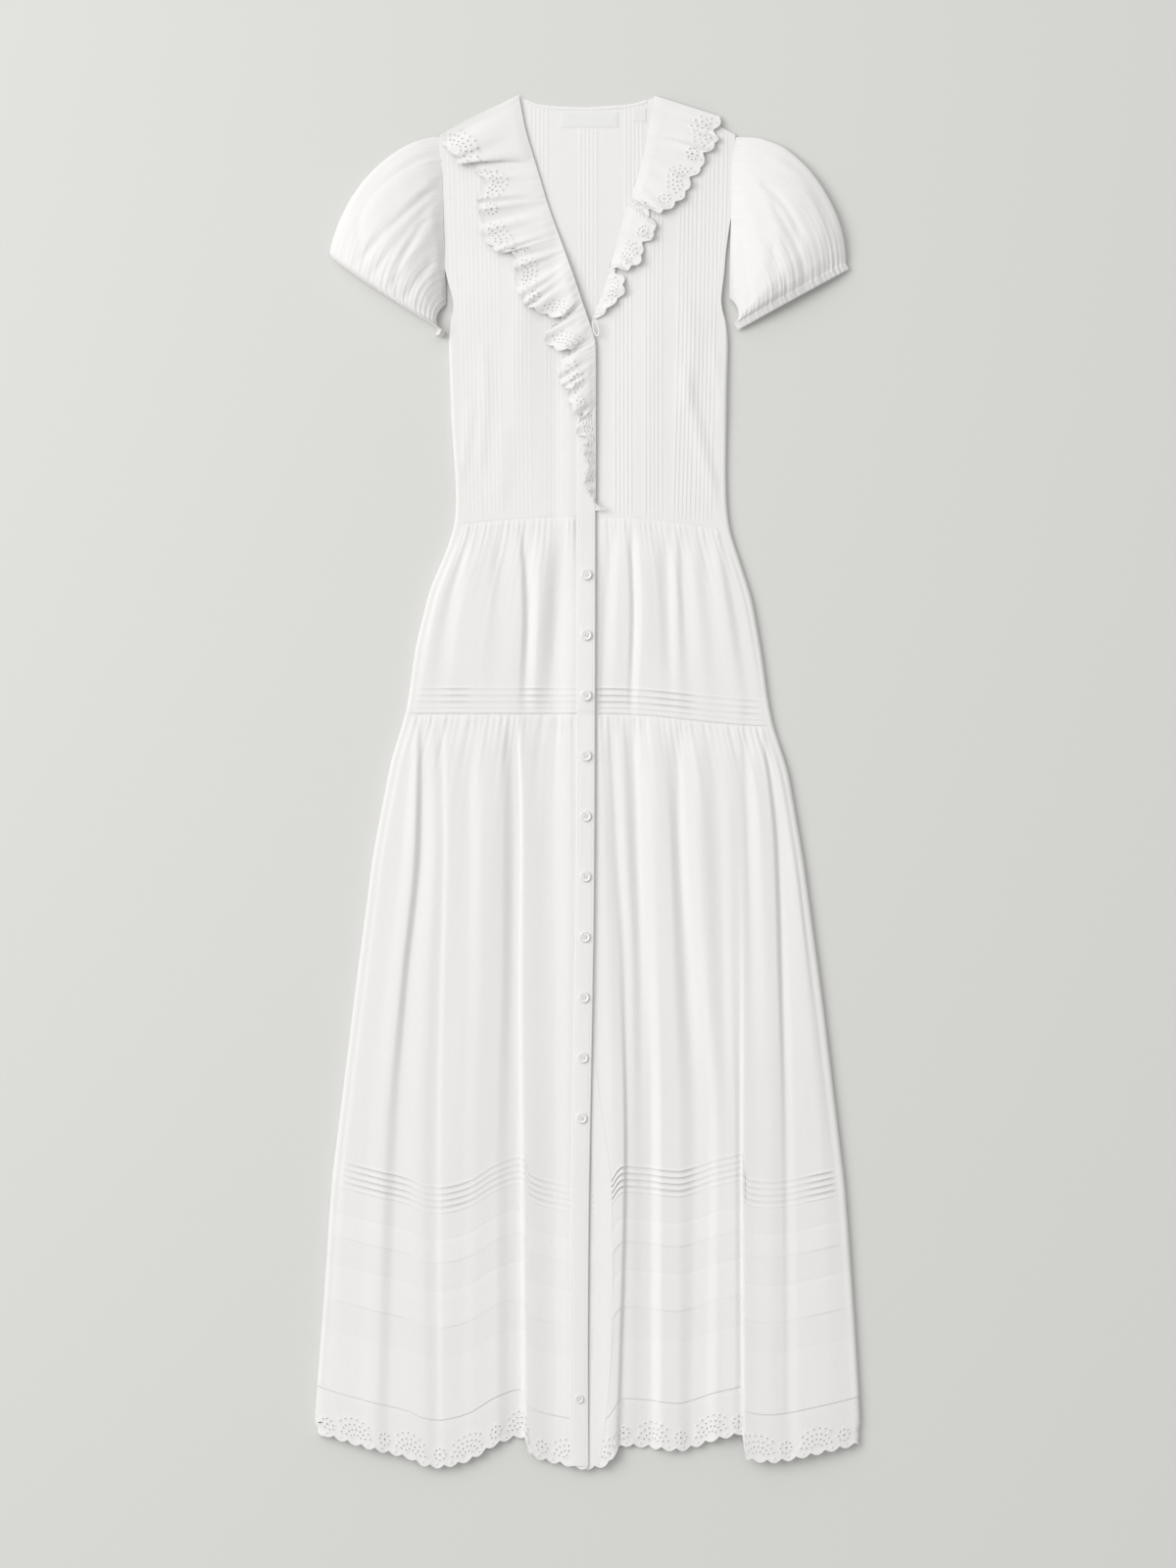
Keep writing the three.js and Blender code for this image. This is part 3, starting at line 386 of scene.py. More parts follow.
def crease_depth(creases, x, y):
    """How far a list of creases sinks the cloth at each place."""
    total = np.zeros(np.shape(x))
    for crease in creases:
        part = np.linspace(0, 1, CREASE_STEPS + 1)[:, None]
        start, middle, end = (np.array(place, float) for place in crease[:3])
        bend = 2 * middle - (start + end) / 2
        path = (1 - part) ** 2 * start + 2 * part * (1 - part) * bend + part**2 * end
        from_path = np.hypot(x[..., None] - path[:, 0], y[..., None] - path[:, 1])
        nearest = from_path.min(axis=-1)
        along = from_path.argmin(axis=-1) / CREASE_STEPS
        fade = ramp(0, 0.18, along + 0.06) * ramp(1, 0.8, along - 0.06)
        total += crease.depth * fade * bump(nearest, crease.width)
    return total


# ---- the frame's outlines ------------------------------------------------------------------

OUTLINE_STEPS = 240


def cad_edges(names):
    """Start and end points of every edge of some CAD pieces, in millimetres."""
    starts, ends = [], []
    for name in names:
        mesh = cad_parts[name].data
        points = np.array([vertex.co for vertex in mesh.vertices]) / MM
        edges = np.array([edge.vertices for edge in mesh.edges])
        starts.append(points[edges[:, 0]])
        ends.append(points[edges[:, 1]])
    return np.concatenate(starts), np.concatenate(ends)


class Outline:
    """How far CAD pieces reach across one axis, at each place along the other."""

    def __init__(self, names, along, above=-1.0, below=1000.0, blur=2.0):
        start, end = cad_edges(names)
        lowest = np.minimum(start[:, Z], end[:, Z])
        highest = np.maximum(start[:, Z], end[:, Z])
        kept = (lowest > above) & (highest < below)
        start, end = start[kept], end[kept]
        first = min(start[:, along].min(), end[:, along].min())
        last = max(start[:, along].max(), end[:, along].max())
        self.places, low, high = [], [], []
        for place in np.linspace(first + 0.05, last - 0.05, OUTLINE_STEPS):
            before = start[:, along] - place
            after = end[:, along] - place
            crossing = (before * after <= 0) & (before != after)
            if not crossing.any():
                continue
            part = (before[crossing] / (before[crossing] - after[crossing]))[:, None]
            reached = mix(start[crossing], end[crossing], part)[:, 1 - along]
            self.places.append(place)
            low.append(reached.min())
            high.append(reached.max())
        self.lows = blurred(low, blur)
        self.highs = blurred(high, blur)

    def low(self, place):
        return np.interp(place, self.places, self.lows)

    def high(self, place):
        return np.interp(place, self.places, self.highs)


UNDER_FRONT = 1.5       # the turned-under parts lie below this height, and the front above it
WAIST_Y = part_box("upper_tier_left")[1].y / MM
SEAM_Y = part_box("lower_tier_left")[1].y / MM
UNDERARM_Y = 455
SIDE_LOW_Y = -626       # below this only the hem's lobes reach, and not its sides
SHOULDER_END_Y = 620
HEM_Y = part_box("hem_border_left")[0].y / MM
SLIT_TOP_Y, SLIT_EDGE_X = -258, -7.2


class Side:
    """One side of the dress: where its edges, folds and seams lie."""

    def __init__(self, word, sign, lower, upper, hem_places, groups, tuck_rise, seed):
        self.word = word
        self.sign = sign
        names = [f"{part}_{word}" for part in ("bodice_front", "upper_tier", "lower_tier", "hem_border")]
        self.whole = Outline(names, Y)
        self.under = Outline(names, Y, below=UNDER_FRONT)
        self.top = Outline(names[:1], X, above=UNDER_FRONT, blur=0.5).high
        self.waist_line = Outline(names[1:2], X, above=UNDER_FRONT).high
        self.seam_line = Outline(names[2:3], X, above=UNDER_FRONT).high
        self.hem_places = np.array(hem_places, float)
        self.waist_reach = abs(float(self.side_x(WAIST_Y - 16))) - 8
        self.seam_reach = abs(float(self.side_x(SEAM_Y - 12))) - 8
        self.lower = lower
        self.upper = upper
        self.groups = groups
        self.tuck_rise = tuck_rise
        random = np.random.default_rng(seed)
        self.lower_gathers = gathers(random, 12, 172, 5.4, (14, 62), 2.0)
        self.upper_gathers = gathers(random, 14, 128, 4.6, (14, 66), 1.4)
        self.slack = gathers(random, 16, 170, 15, (500, 900), 0.35)

    def side_x(self, y):
        y = np.maximum(y, SIDE_LOW_Y)
        return self.whole.low(y) if self.sign < 0 else self.whole.high(y)

    def edge_x(self, y):
        """The front edge. The right one stays under the left front below the last button."""
        if self.sign < 0:
            return self.whole.high(y)
        low = self.whole.low(y)
        return np.where(y < SLIT_TOP_Y, np.minimum(low, SLIT_EDGE_X), low)

    def flap_x(self, y):
        y = np.clip(y, SIDE_LOW_Y, UNDERARM_Y - 5)
        return self.under.high(y) if self.sign < 0 else self.under.low(y)

    def waist(self, x):
        return self.waist_line(np.clip(x, -self.waist_reach, self.waist_reach))

    def seam(self, x):
        return self.seam_line(np.clip(x, -self.seam_reach, self.seam_reach))

    def hem(self, x):
        return HEM_Y + curve(self.hem_places[:, 0], self.hem_places[:, 1], self.sign * np.asarray(x))

    def turn(self, y):
        """Middle and radius of the round side fold at each height."""
        edge = self.sign * self.side_x(y)
        radius = (front_height(self, self.sign * (edge - 4), y) - FLOOR) / 2
        return edge - radius - CLOTH / 2, radius


def gathers(random, first, last, pitch, lengths, rise):
    """Small ridges below a gathered seam: place, width, length and height, one row for each."""
    rows = []
    place = first
    while place < last:
        rows.append((place, pitch * random.uniform(0.25, 0.45), random.uniform(*lengths),
                     rise * random.uniform(0.45, 1.0)))
        place += pitch * random.uniform(0.7, 1.35)
    return np.array(rows)


def gathered(rows, out, drop, spread):
    """Height of the small ridges at a distance below their seam, fanning out by spread."""
    total = np.zeros(np.shape(out))
    for place, width, length, rise in rows:
        wide = width * spread * (1 + drop / 90)
        total += rise * bump(out - place * spread, wide) * np.exp(-drop / length)
    return total * ramp(0, 6, drop)


# ---- height of the front -------------------------------------------------------------------

def fold_places(side, folds, levels, y):
    """Place and height of every fold at each height y: two arrays with a row for each fold."""
    middle = [fold.places for fold in folds[1:-1]]
    places = np.moveaxis(curve(levels, np.array(middle).T, y), -1, 0)
    heights = np.moveaxis(curve(levels, np.array([fold.heights for fold in folds]).T, y), -1, 0)
    edge = side.sign * side.edge_x(y)
    last = side.sign * side.side_x(y) - 4
    return np.concatenate([edge[None], places, last[None]]), heights


def across_folds(places, heights, out):
    """Reads a smooth profile through the folds at the distances out."""
    slopes = even_slopes(places, heights)
    slopes[0] = slopes[-1] = 0
    index = np.clip((places <= out).sum(axis=0) - 1, 0, len(places) - 2)
    column = np.arange(len(out))
    low, high = places[index, column], places[index + 1, column]
    part = np.clip((out - low) / (high - low), 0, 1)
    return hermite(part, high - low, heights[index, column], heights[index + 1, column],
                   slopes[index, column], slopes[index + 1, column])


def tier_loft(side, x, y):
    """How far the tiers' folds and gathers stand above the front's lowest place."""
    out = side.sign * x
    drop = side.seam(x) - y
    below = drop > 0
    loft = np.zeros(x.shape)
    if below.any():
        o, yy, d = out[below], y[below], drop[below]
        places, heights = fold_places(side, side.lower, LOWER_LEVELS, yy)
        folds = across_folds(places, heights, o)
        spread = side.sign * side.side_x(yy) / (side.sign * side.side_x(LOWER_LEVELS[0]))
        free = ramp(0, 6, np.abs(o - places[1]) + (o > places[1]) * 9) * ramp(0, 10, places[-1] - o)
        small = gathered(side.lower_gathers, o, d, spread) + gathered(side.slack, o, d, spread) * 0.6
        loft[below] = mix(SEAM_LOFT, folds, ramp(0, 34, d)) + free * small
    if (~below).any():
        o, xx, yy = out[~below], x[~below], y[~below]
        above = -drop[~below]
        under_waist = np.maximum(side.waist(xx) - yy, 0)
        places, heights = fold_places(side, side.upper, UPPER_LEVELS, yy)
        folds = across_folds(places, heights, o)
        spread = side.sign * side.side_x(yy) / (side.sign * side.side_x(WAIST_Y))
        free = ramp(0, 6, np.abs(o - places[1]) + (o > places[1]) * 9) * ramp(0, 10, places[-1] - o)
        small = gathered(side.upper_gathers, o, under_waist, spread)
        strength = ramp(0, 42, under_waist) * ramp(-14, 22, above)
        loft[~below] = mix(SEAM_LOFT, folds, strength) + free * small * ramp(8, 40, above)
    return loft


def front_height(side, x, y):
    """Height of the middle of the front's cloth."""
    x, y = np.broadcast_arrays(np.asarray(x, float), np.asarray(y, float))
    shape = x.shape
    x, y = x.ravel(), y.ravel()
    flap = np.abs(side.flap_x(y))
    turned = ramp(flap - STACK_EASE, flap - 4, side.sign * x) * ramp(UNDERARM_Y + 65, UNDERARM_Y, y)
    lapped = ramp(LAP_FROM, LAP_TO, x) if side.sign < 0 else 0
    on_bodice = y > side.waist(x)
    loft = np.full(x.shape, BODICE_LOFT)
    if on_bodice.any():
        xs, ys = x[on_bodice], y[on_bodice]
        rising = ramp(SEAM_EASE, 0, ys - side.waist(xs))
        sink = np.minimum(crease_depth(BODICE_CREASES, xs, ys), BODICE_LOFT - 0.3)
        loft[on_bodice] = mix(BODICE_LOFT - sink, SEAM_LOFT, rising)
    if (~on_bodice).any():
        loft[~on_bodice] = tier_loft(side, x[~on_bodice], y[~on_bodice])
    return (FLOOR + PITCH + 2 * PITCH * (turned + lapped) + loft).reshape(shape)


def back_height(x, y):
    """Height of the middle of the back's cloth: low, and over the turned-under sides beside."""
    x, y = np.broadcast_arrays(np.asarray(x, float), np.asarray(y, float))
    height = np.full(x.shape, FLOOR)
    for side in SIDES:
        flap = np.abs(side.flap_x(y))
        out = side.sign * x
        height += 2 * PITCH * ramp(flap - 18, flap - 5, out) * ramp(UNDERARM_Y + 65, UNDERARM_Y, y)
    return height


SIDES = [
    Side("left", -1, LOWER_LEFT, UPPER_LEFT, HEM_LEFT, GROUPS_LEFT, 0.16, 5),
    Side("right", 1, LOWER_RIGHT, UPPER_RIGHT, HEM_RIGHT, GROUPS_RIGHT, 0.36, 8),
]
LEFT, RIGHT = SIDES

# ---- meshes --------------------------------------------------------------------------------


def grid_faces(rows, columns, closed=False):
    """Quads of a grid of points; closed joins the last column to the first."""
    first = np.arange(rows * columns).reshape(rows, columns)
    if closed:
        first = np.concatenate([first, first[:, :1]], axis=1)
    corners = [first[:-1, :-1], first[1:, :-1], first[1:, 1:], first[:-1, 1:]]
    return np.stack(corners, axis=-1).reshape(-1, 4)


def face_normals(points, faces):
    a, b, c = points[faces[:, 0]], points[faces[:, 1]], points[faces[:, 2]]
    normals = np.cross(b - a, c - a)
    if faces.shape[1] == 4:
        normals = np.cross(c - a, points[faces[:, 3]] - b)
    return normals


def point_normals(points, faces):
    normals = face_normals(points, faces)
    total = np.zeros_like(points)
    for corner in range(faces.shape[1]):
        np.add.at(total, faces[:, corner], normals)
    length = np.linalg.norm(total, axis=1, keepdims=True)
    return total / np.maximum(length, 1e-9)


def thickened(points, faces, thickness):
    """Both sides of a cloth and the rim between them. Returns points, cloth faces and rim faces."""
    normals = point_normals(points, faces)
    half = np.asarray(thickness, float).reshape(-1, 1) / 2 * np.ones((len(points), 1))
    both = np.concatenate([points + normals * half, points - normals * half])
    count = len(points)
    sides = np.stack([faces, np.roll(faces, -1, axis=1)], axis=-1).reshape(-1, 2)
    codes = sides[:, 0].astype(np.int64) * count + sides[:, 1]
    back = sides[:, 1].astype(np.int64) * count + sides[:, 0]
    rim = sides[~np.isin(codes, back)]
    rim_faces = np.stack([rim[:, 1], rim[:, 0], rim[:, 0] + count, rim[:, 1] + count], axis=-1)
    return both, np.concatenate([faces, faces[:, ::-1] + count]), rim_faces


def new_object(name, points, faces, rim_faces=(), materials=(), which=None):
    """A smooth mesh object in metres, crisp where its rim begins. It rides on the dress."""
    mesh = bpy.data.meshes.new(name)
    all_faces = [list(face) for face in np.asarray(faces).tolist()]
    all_faces += [list(face) for face in np.asarray(rim_faces).tolist()]
    mesh.from_pydata((np.asarray(points) * MM).tolist(), [], all_faces)
    mesh.polygons.foreach_set("use_smooth", np.ones(len(all_faces), bool))
    for material in materials:
        mesh.materials.append(material)
    if which is not None:
        index = np.zeros(len(all_faces), np.int32)
        index[:len(which)] = which
        mesh.polygons.foreach_set("material_index", index)
    mesh.update()
    edges = np.zeros(len(mesh.loops), np.int32)
    mesh.loops.foreach_get("edge_index", edges)
    corners = sum(len(face) for face in all_faces[:len(faces)])
    crisp = np.zeros(len(mesh.edges), bool)
    crisp[np.intersect1d(edges[:corners], edges[corners:])] = True
    mesh.edges.foreach_set("use_edge_sharp", crisp)
    piece = bpy.data.objects.new(name, mesh)
    bpy.context.scene.collection.objects.link(piece)
    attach(piece, "root")
    return piece


def cloth(name, points, faces, materials, thickness=CLOTH, doubled=None):
    """A thin shell of cloth. doubled marks the faces that show more than one layer."""
    if face_normals(points, faces)[:, Z].sum() < 0:
        faces = faces[:, ::-1]
    shell, sides, rim = thickened(points, faces, thickness)
    which = None if doubled is None else np.tile(np.asarray(doubled, np.int32), 2)
    return new_object(name, shell, sides, rim, materials, which)


# ---- materials -----------------------------------------------------------------------------

WEAVE_SCALE = 620       # threads of the weave, for Blender's wave texture, about 0.5 mm apart


def new_material(name, colour, roughness, sheen=0.0):
    material = bpy.data.materials.new(name)
    material.use_nodes = True
    shader = material.node_tree.nodes["Principled BSDF"]
    shader.inputs["Base Color"].default_value = (*colour, 1)
    shader.inputs["Roughness"].default_value = roughness
    shader.inputs["Sheen Weight"].default_value = sheen
    shader.inputs["Sheen Roughness"].default_value = 0.5
    shader.inputs["Specular IOR Level"].default_value = 0.25
    material.diffuse_color = (*colour, 1)
    return material, material.node_tree, shader


def link(tree, source, output, target, socket):
    tree.links.new(source.outputs[output], target.inputs[socket])


def textured(tree, kind, coordinates, stretch=(1, 1, 1), **settings):
    """A texture node on the object's own coordinates, stretched along its axes."""
    mapping = tree.nodes.new("ShaderNodeMapping")
    mapping.inputs["Scale"].default_value = stretch
    link(tree, coordinates, "Object", mapping, "Vector")
    node = tree.nodes.new(kind)
    link(tree, mapping, "Vector", node, "Vector")
    for key, value in settings.items():
        if key in node.inputs:
            node.inputs[key].default_value = value
        else:
            setattr(node, key, value)
    return node


def bumped(tree, height, output, distance, below=None):
    """A bump on top of another one."""
    node = tree.nodes.new("ShaderNodeBump")
    node.inputs["Distance"].default_value = distance
    link(tree, height, output, node, "Height")
    if below is not None:
        link(tree, below, "Normal", node, "Normal")
    return node


def cotton(name, light, dark, weave=0.00003, crumple=0.00025):
    """White plain-woven cotton: threads both ways, uneven yarns, soft crumples, faint colour variation."""
    material, tree, shader = new_material(name, light, 0.88, sheen=0.12)
    coordinates = tree.nodes.new("ShaderNodeTexCoord")
    clouds = textured(tree, "ShaderNodeTexNoise", coordinates, Scale=9.0, Detail=3.0)
    yarns = textured(tree, "ShaderNodeTexNoise", coordinates, (900, 40, 200), Scale=1.0, Detail=2.0)
    colours = tree.nodes.new("ShaderNodeMix")
    colours.data_type = "RGBA"
    colours.inputs["A"].default_value = (*light, 1)
    colours.inputs["B"].default_value = (*dark, 1)
    amount = tree.nodes.new("ShaderNodeMath")
    amount.operation = "MULTIPLY"
    link(tree, clouds, "Fac", amount, 0)
    link(tree, yarns, "Fac", amount, 1)
    link(tree, amount, "Value", colours, "Factor")
    tree.links.new(colours.outputs["Result"], shader.inputs["Base Color"])
    warp = textured(tree, "ShaderNodeTexWave", coordinates, Scale=WEAVE_SCALE, Distortion=0.6)
    weft = textured(tree, "ShaderNodeTexWave", coordinates, bands_direction="Y", Scale=WEAVE_SCALE,
                    Distortion=0.6)
    woven = tree.nodes.new("ShaderNodeMath")
    link(tree, warp, "Fac", woven, 0)
    link(tree, weft, "Fac", woven, 1)
    soft = textured(tree, "ShaderNodeTexNoise", coordinates, (1, 0.35, 1), Scale=70.0, Detail=3.0)
    first = bumped(tree, soft, "Fac", crumple)
    second = bumped(tree, yarns, "Fac", weave, first)
    third = bumped(tree, woven, "Value", weave, second)
    link(tree, third, "Normal", shader, "Normal")
    return material


VOILE = cotton("cotton_voile", (0.87, 0.861, 0.848), (0.822, 0.811, 0.794))
DOUBLED_VOILE = cotton("doubled_cotton", (0.882, 0.874, 0.861), (0.835, 0.825, 0.808))
BRODERIE = cotton("broderie", (0.872, 0.862, 0.848), (0.825, 0.812, 0.795))
EMBROIDERY = cotton("embroidery", (0.892, 0.884, 0.872), (0.845, 0.835, 0.82), weave=0.00006, crumple=0.0)
LABEL = cotton("label", (0.87, 0.865, 0.85), (0.82, 0.815, 0.80), weave=0.00005, crumple=0.00005)


def pearl(name):
    """Shell button: pale, with faint cloudy layers and a soft shine."""
    material, tree, shader = new_material(name, (0.85, 0.84, 0.81), 0.28)
    shader.inputs["Coat Weight"].default_value = 0.3
    shader.inputs["Coat Roughness"].default_value = 0.2
    coordinates = tree.nodes.new("ShaderNodeTexCoord")
    layers = textured(tree, "ShaderNodeTexNoise", coordinates, (160, 420, 160), Scale=1.0, Detail=4.0,
                      Distortion=1.2)
    colours = tree.nodes.new("ShaderNodeValToRGB")
    colours.color_ramp.elements[0].color = (0.78, 0.79, 0.78, 1)
    colours.color_ramp.elements[1].color = (0.90, 0.88, 0.85, 1)
    link(tree, layers, "Fac", colours, "Fac")
    tree.links.new(colours.outputs["Color"], shader.inputs["Base Color"])
    link(tree, bumped(tree, layers, "Fac", 0.00004), "Normal", shader, "Normal")
    return material


PEARL = pearl("button")
THREAD = cotton("thread", (0.86, 0.855, 0.84), (0.80, 0.795, 0.78), weave=0.00008, crumple=0.0)

# ---- fronts of the tiers -------------------------------------------------------------------

TURN_STEPS = 9
FLAP_STEPS = 8
EDGE_GAP = 26           # taken for the distance from the front edge to the first fold, which varies
SIDE_GAP = 22           # taken for the distance from the last fold to the side, which varies
HEM_REACH = 265.0       # the hem's line is read this far out for the side fold


def column_places(folds, spacing):
    """Places across a front, as fold numbers with parts between, closer than the spacing."""
    middle = np.array([fold.places for fold in folds[1:-1]], float)
    widest = np.diff(middle, axis=0).max(axis=1)
    gaps = [EDGE_GAP, *widest, SIDE_GAP]
    places = [0.0]
    for number, gap in enumerate(gaps):
        count = max(2, math.ceil(gap / spacing))
        places += [number + (step + 1) / count for step in range(count)]
    return np.array(places)


def front_point_rows(side, folds, levels, spacing, rows):
    """Points of a front: every row runs from the front edge round the side fold to the seam."""
    columns = column_places(folds, spacing)
    index = np.minimum(columns.astype(int), len(folds) - 2)
    part = columns - index
    grid = []
    for row in rows:
        turn_y = float(row.at(side.sign * HEM_REACH))
        centre, radius = (float(value) for value in side.turn(turn_y))
        y = row.at(side.sign * np.linspace(0, centre, len(columns)))
        for _ in range(3):
            places, _ = fold_places(side, folds, levels, y)
            places[-1] = centre
            x = side.sign * mix(places[index, np.arange(len(columns))],
                                places[index + 1, np.arange(len(columns))], part)
            y = row.at(x)
        inside = ramp(0, 12, centre - side.sign * x) * ramp(0, 14, side.sign * x)
        if row.doubled:
            inside = inside * pressed(x)
        z = front_height(side, x, y) + row.rise * inside
        z = mix(FLOOR + 2 * radius, z, ramp(0, 6, centre - side.sign * x))
        flat = np.stack([x, y, z], axis=-1)
        grid.append(np.concatenate([flat, turned_points(side, turn_y, centre, radius, FLOOR)]))
    return np.array(grid)


def pressed(x):
    """Share of its height that a pintuck or tuck keeps: they are ironed flat here and there."""
    return 0.35 + 0.65 * ramp(-0.4, 0.6, np.sin(x / 31 + 1.3) * np.sin(x / 17.5 + 0.4))


def turned_points(side, y, centre, radius, bottom, swell=1.0):
    """The round side fold and the part turned under, down to its seam."""
    angles = np.radians(np.linspace(90, -90, TURN_STEPS + 2)[1:])
    turn_x = side.sign * (centre + swell * radius * np.cos(angles))
    turn_z = bottom + radius + radius * np.sin(angles)
    flap_x = np.linspace(side.sign * centre, float(side.flap_x(y)), FLAP_STEPS + 1)[1:]
    x = np.concatenate([turn_x, flap_x])
    z = np.concatenate([turn_z, np.full(FLAP_STEPS, bottom)])
    return np.stack([x, np.full(len(x), y), z], axis=-1)


def pintuck_rows(edge_at, count):
    """Rows over a set of crosswise pintucks, each pressed downwards."""
    rows = []
    profile = [(2.4, 0.0), (1.5, 0.45), (0.6, 0.9), (0.1, 1.0), (-0.25, 0.55), (-0.4, 0.0)]
    for number in range(count):
        for above, rise in profile:
            height = (count - 1 - number) * PINTUCK_PITCH + above
            rows.append(Row(lambda x, h=height: edge_at(x) + h, rise * PINTUCK_RISE, True))
    rows.append(Row(lambda x: edge_at(x) - 1.2, 0.0, False))
    return rows


def tuck_rows(hem, tuck, last):
    """Rows over a wide tuck: its stitching, its doubled cloth and its free edge."""
    rows = []
    width = tuck.stitched - tuck.edge
    profile = [(width + 2.4, 0.0), (width + 0.9, 0.0), (width, -0.25)]
    profile += [(width - 0.9, 0.2), (width - 3, 0.45)]
    profile += [(mix(width - 3, 1.6, part), mix(0.45, 0.95, part)) for part in (0.25, 0.5, 0.75)]
    profile += [(1.6, 1.0), (0.5, 1.0), (0.0, 0.8), (0.6, 0.3) if last else (-0.3, 0.2)]
    height = LAST_TUCK_RISE if last else TUCK_RISE
    for above, rise in profile:
        rows.append(Row(lambda x, h=tuck.edge + above: hem(x) + h, rise * height, above < width))
    if not last:
        rows.append(Row(lambda x, h=tuck.edge - 0.9: hem(x) + h, 0.0, False))
        rows.append(Row(lambda x, h=tuck.edge - 3: hem(x) + h, 0.0, False))
    return rows


def lower_rows(side):
    def pintuck_edge(x):
        return side.hem(x) + LAST_PINTUCK

    top_part = np.concatenate([np.linspace(0, 0.02, 4), np.linspace(0.02, 0.2, 22)[1:],
                               np.linspace(0.2, 1, 56)[1:]])
    end = 4 * PINTUCK_PITCH + 4
    rows = []
    for part in top_part:
        rise = -0.7 if part == 0 else 0.0
        rows.append(Row(lambda x, p=part: mix(side.seam(x) + 0.6, pintuck_edge(x) + end, p), rise, False))
    rows += pintuck_rows(pintuck_edge, 5)
    for tuck in TUCKS:
        rows += tuck_rows(side.hem, tuck, tuck is TUCKS[-1])
    return rows


def upper_rows(side):
    def pintuck_edge(x):
        return side.seam(x) + 6

    end = 3 * PINTUCK_PITCH + 4
    top_part = np.concatenate([np.linspace(0, 0.04, 4), np.linspace(0.04, 1, 46)[1:]])
    rows = []
    for part in top_part:
        rise = -0.35 if part == 0 else 0.0
        rows.append(Row(lambda x, p=part: mix(side.waist(x), pintuck_edge(x) + end, p), rise, False))
    rows += pintuck_rows(pintuck_edge, 4)
    rows.append(Row(lambda x: side.seam(x) + 2.5, 0.15, False))
    rows.append(Row(lambda x: side.seam(x) + 1.0, 0.5, False))
    rows.append(Row(lambda x: side.seam(x) + 0.1, 0.3, False))
    rows.append(Row(lambda x: side.seam(x) - 0.1, -0.4, False))
    return rows


def row_marks(rows, columns):
    """Which faces of a grid of rows show doubled cloth."""
    marks = np.array([upper.doubled and lower.doubled for upper, lower in zip(rows[:-1], rows[1:])])
    return np.repeat(marks, columns - 1)


def tier_front(side, part, folds, levels, spacing, rows):
    """One front of a tier, with the part turned under at the side."""
    grid = front_point_rows(side, folds, levels, spacing, rows)
    points = grid.reshape(-1, 3)
    faces = grid_faces(*grid.shape[:2])
    node = f"{part}_{side.word}"
    piece = cloth(f"{node}_cloth", points, faces, [VOILE, DOUBLED_VOILE],
                  doubled=row_marks(rows, grid.shape[1]))
    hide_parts(node)


for side in SIDES:
    tier_front(side, "upper_tier", side.upper, UPPER_LEVELS, 1.5, upper_rows(side))
    tier_front(side, "lower_tier", side.lower, LOWER_LEVELS, 1.9, lower_rows(side))


def welded(points, faces):
    """Joins points that lie in the same place."""
    keys = np.round(points * 200).astype(np.int64)
    _, first, index = np.unique(keys, axis=0, return_index=True, return_inverse=True)
    faces = index.reshape(-1)[faces]
    following = np.roll(faces, -1, axis=1)
    kept = (faces != following).all(axis=1)
    return points[first], faces[kept]


def joined(*grids):
    """Grids of points made into one cloth, joined where they meet."""
    points, faces, count = [], [], 0
    for grid in grids:
        points.append(grid.reshape(-1, 3))
        faces.append(grid_faces(*grid.shape[:2]) + count)
        count += len(points[-1])
    return welded(np.concatenate(points), np.concatenate(faces))


# ---- fronts of the bodice ------------------------------------------------------------------

BODICE_SPACING = 3.2
BODICE_TUCK = [(0.0, 0.0), (1.0, 0.35), (2.0, 0.8), (2.6, 1.0), (2.9, 0.2), (3.4, 0.0)]
ARMHOLE_FADE = 45       # the side fold turns into the armhole's edge over this height


def flat_reach(side, y):
    """How far out the flat part of a bodice front goes: to the armhole or to the side fold."""
    below = ramp(UNDERARM_Y + ARMHOLE_FADE, UNDERARM_Y, y)
    centre, _ = side.turn(y)
    return mix(side.sign * side.side_x(np.minimum(y, SHOULDER_END_Y)), centre, below)


def bodice_lines(side, y):
    """Distances out of the lines that the columns of a bodice front lie between."""
    starts = np.array([group[3:] for group in side.groups], float).T
    starts = np.moveaxis(curve(CHEST_LEVELS, starts, y), -1, 0)
    last = flat_reach(side, y)
    lines = [side.sign * side.edge_x(np.minimum(y, 415))]
    for start, group in zip(starts, side.groups):
        lines += [start, np.minimum(start + group.tucks * GROUP_PITCH, last - 1)]
    return np.array([*lines, last])


def bodice_columns(side):
    """Line, part of the way to the next line, and share of a pintuck's rise, for each column."""
    lines = bodice_lines(side, np.array(CHEST_LEVELS, float))
    widest = np.diff(lines, axis=0).max(axis=1)
    columns = [(0, 0.0, 0.0)]
    for line, gap in enumerate(widest):
        if line % 2:
            tucks = side.groups[line // 2].tucks
            columns += [(line, (tuck + out / GROUP_PITCH) / tucks, rise)
                        for tuck in range(tucks) for out, rise in BODICE_TUCK if out > 0]
            columns.append((line + 1, 0.0, 0.0))
        else:
            count = max(2, math.ceil(gap / BODICE_SPACING))
            columns += [(line, (step + 1) / count, 0.0) for step in range(count - 1)]
            columns.append((min(line + 1, len(widest) - 1), float(line + 1 == len(widest)), 0.0))
    return np.array(columns)


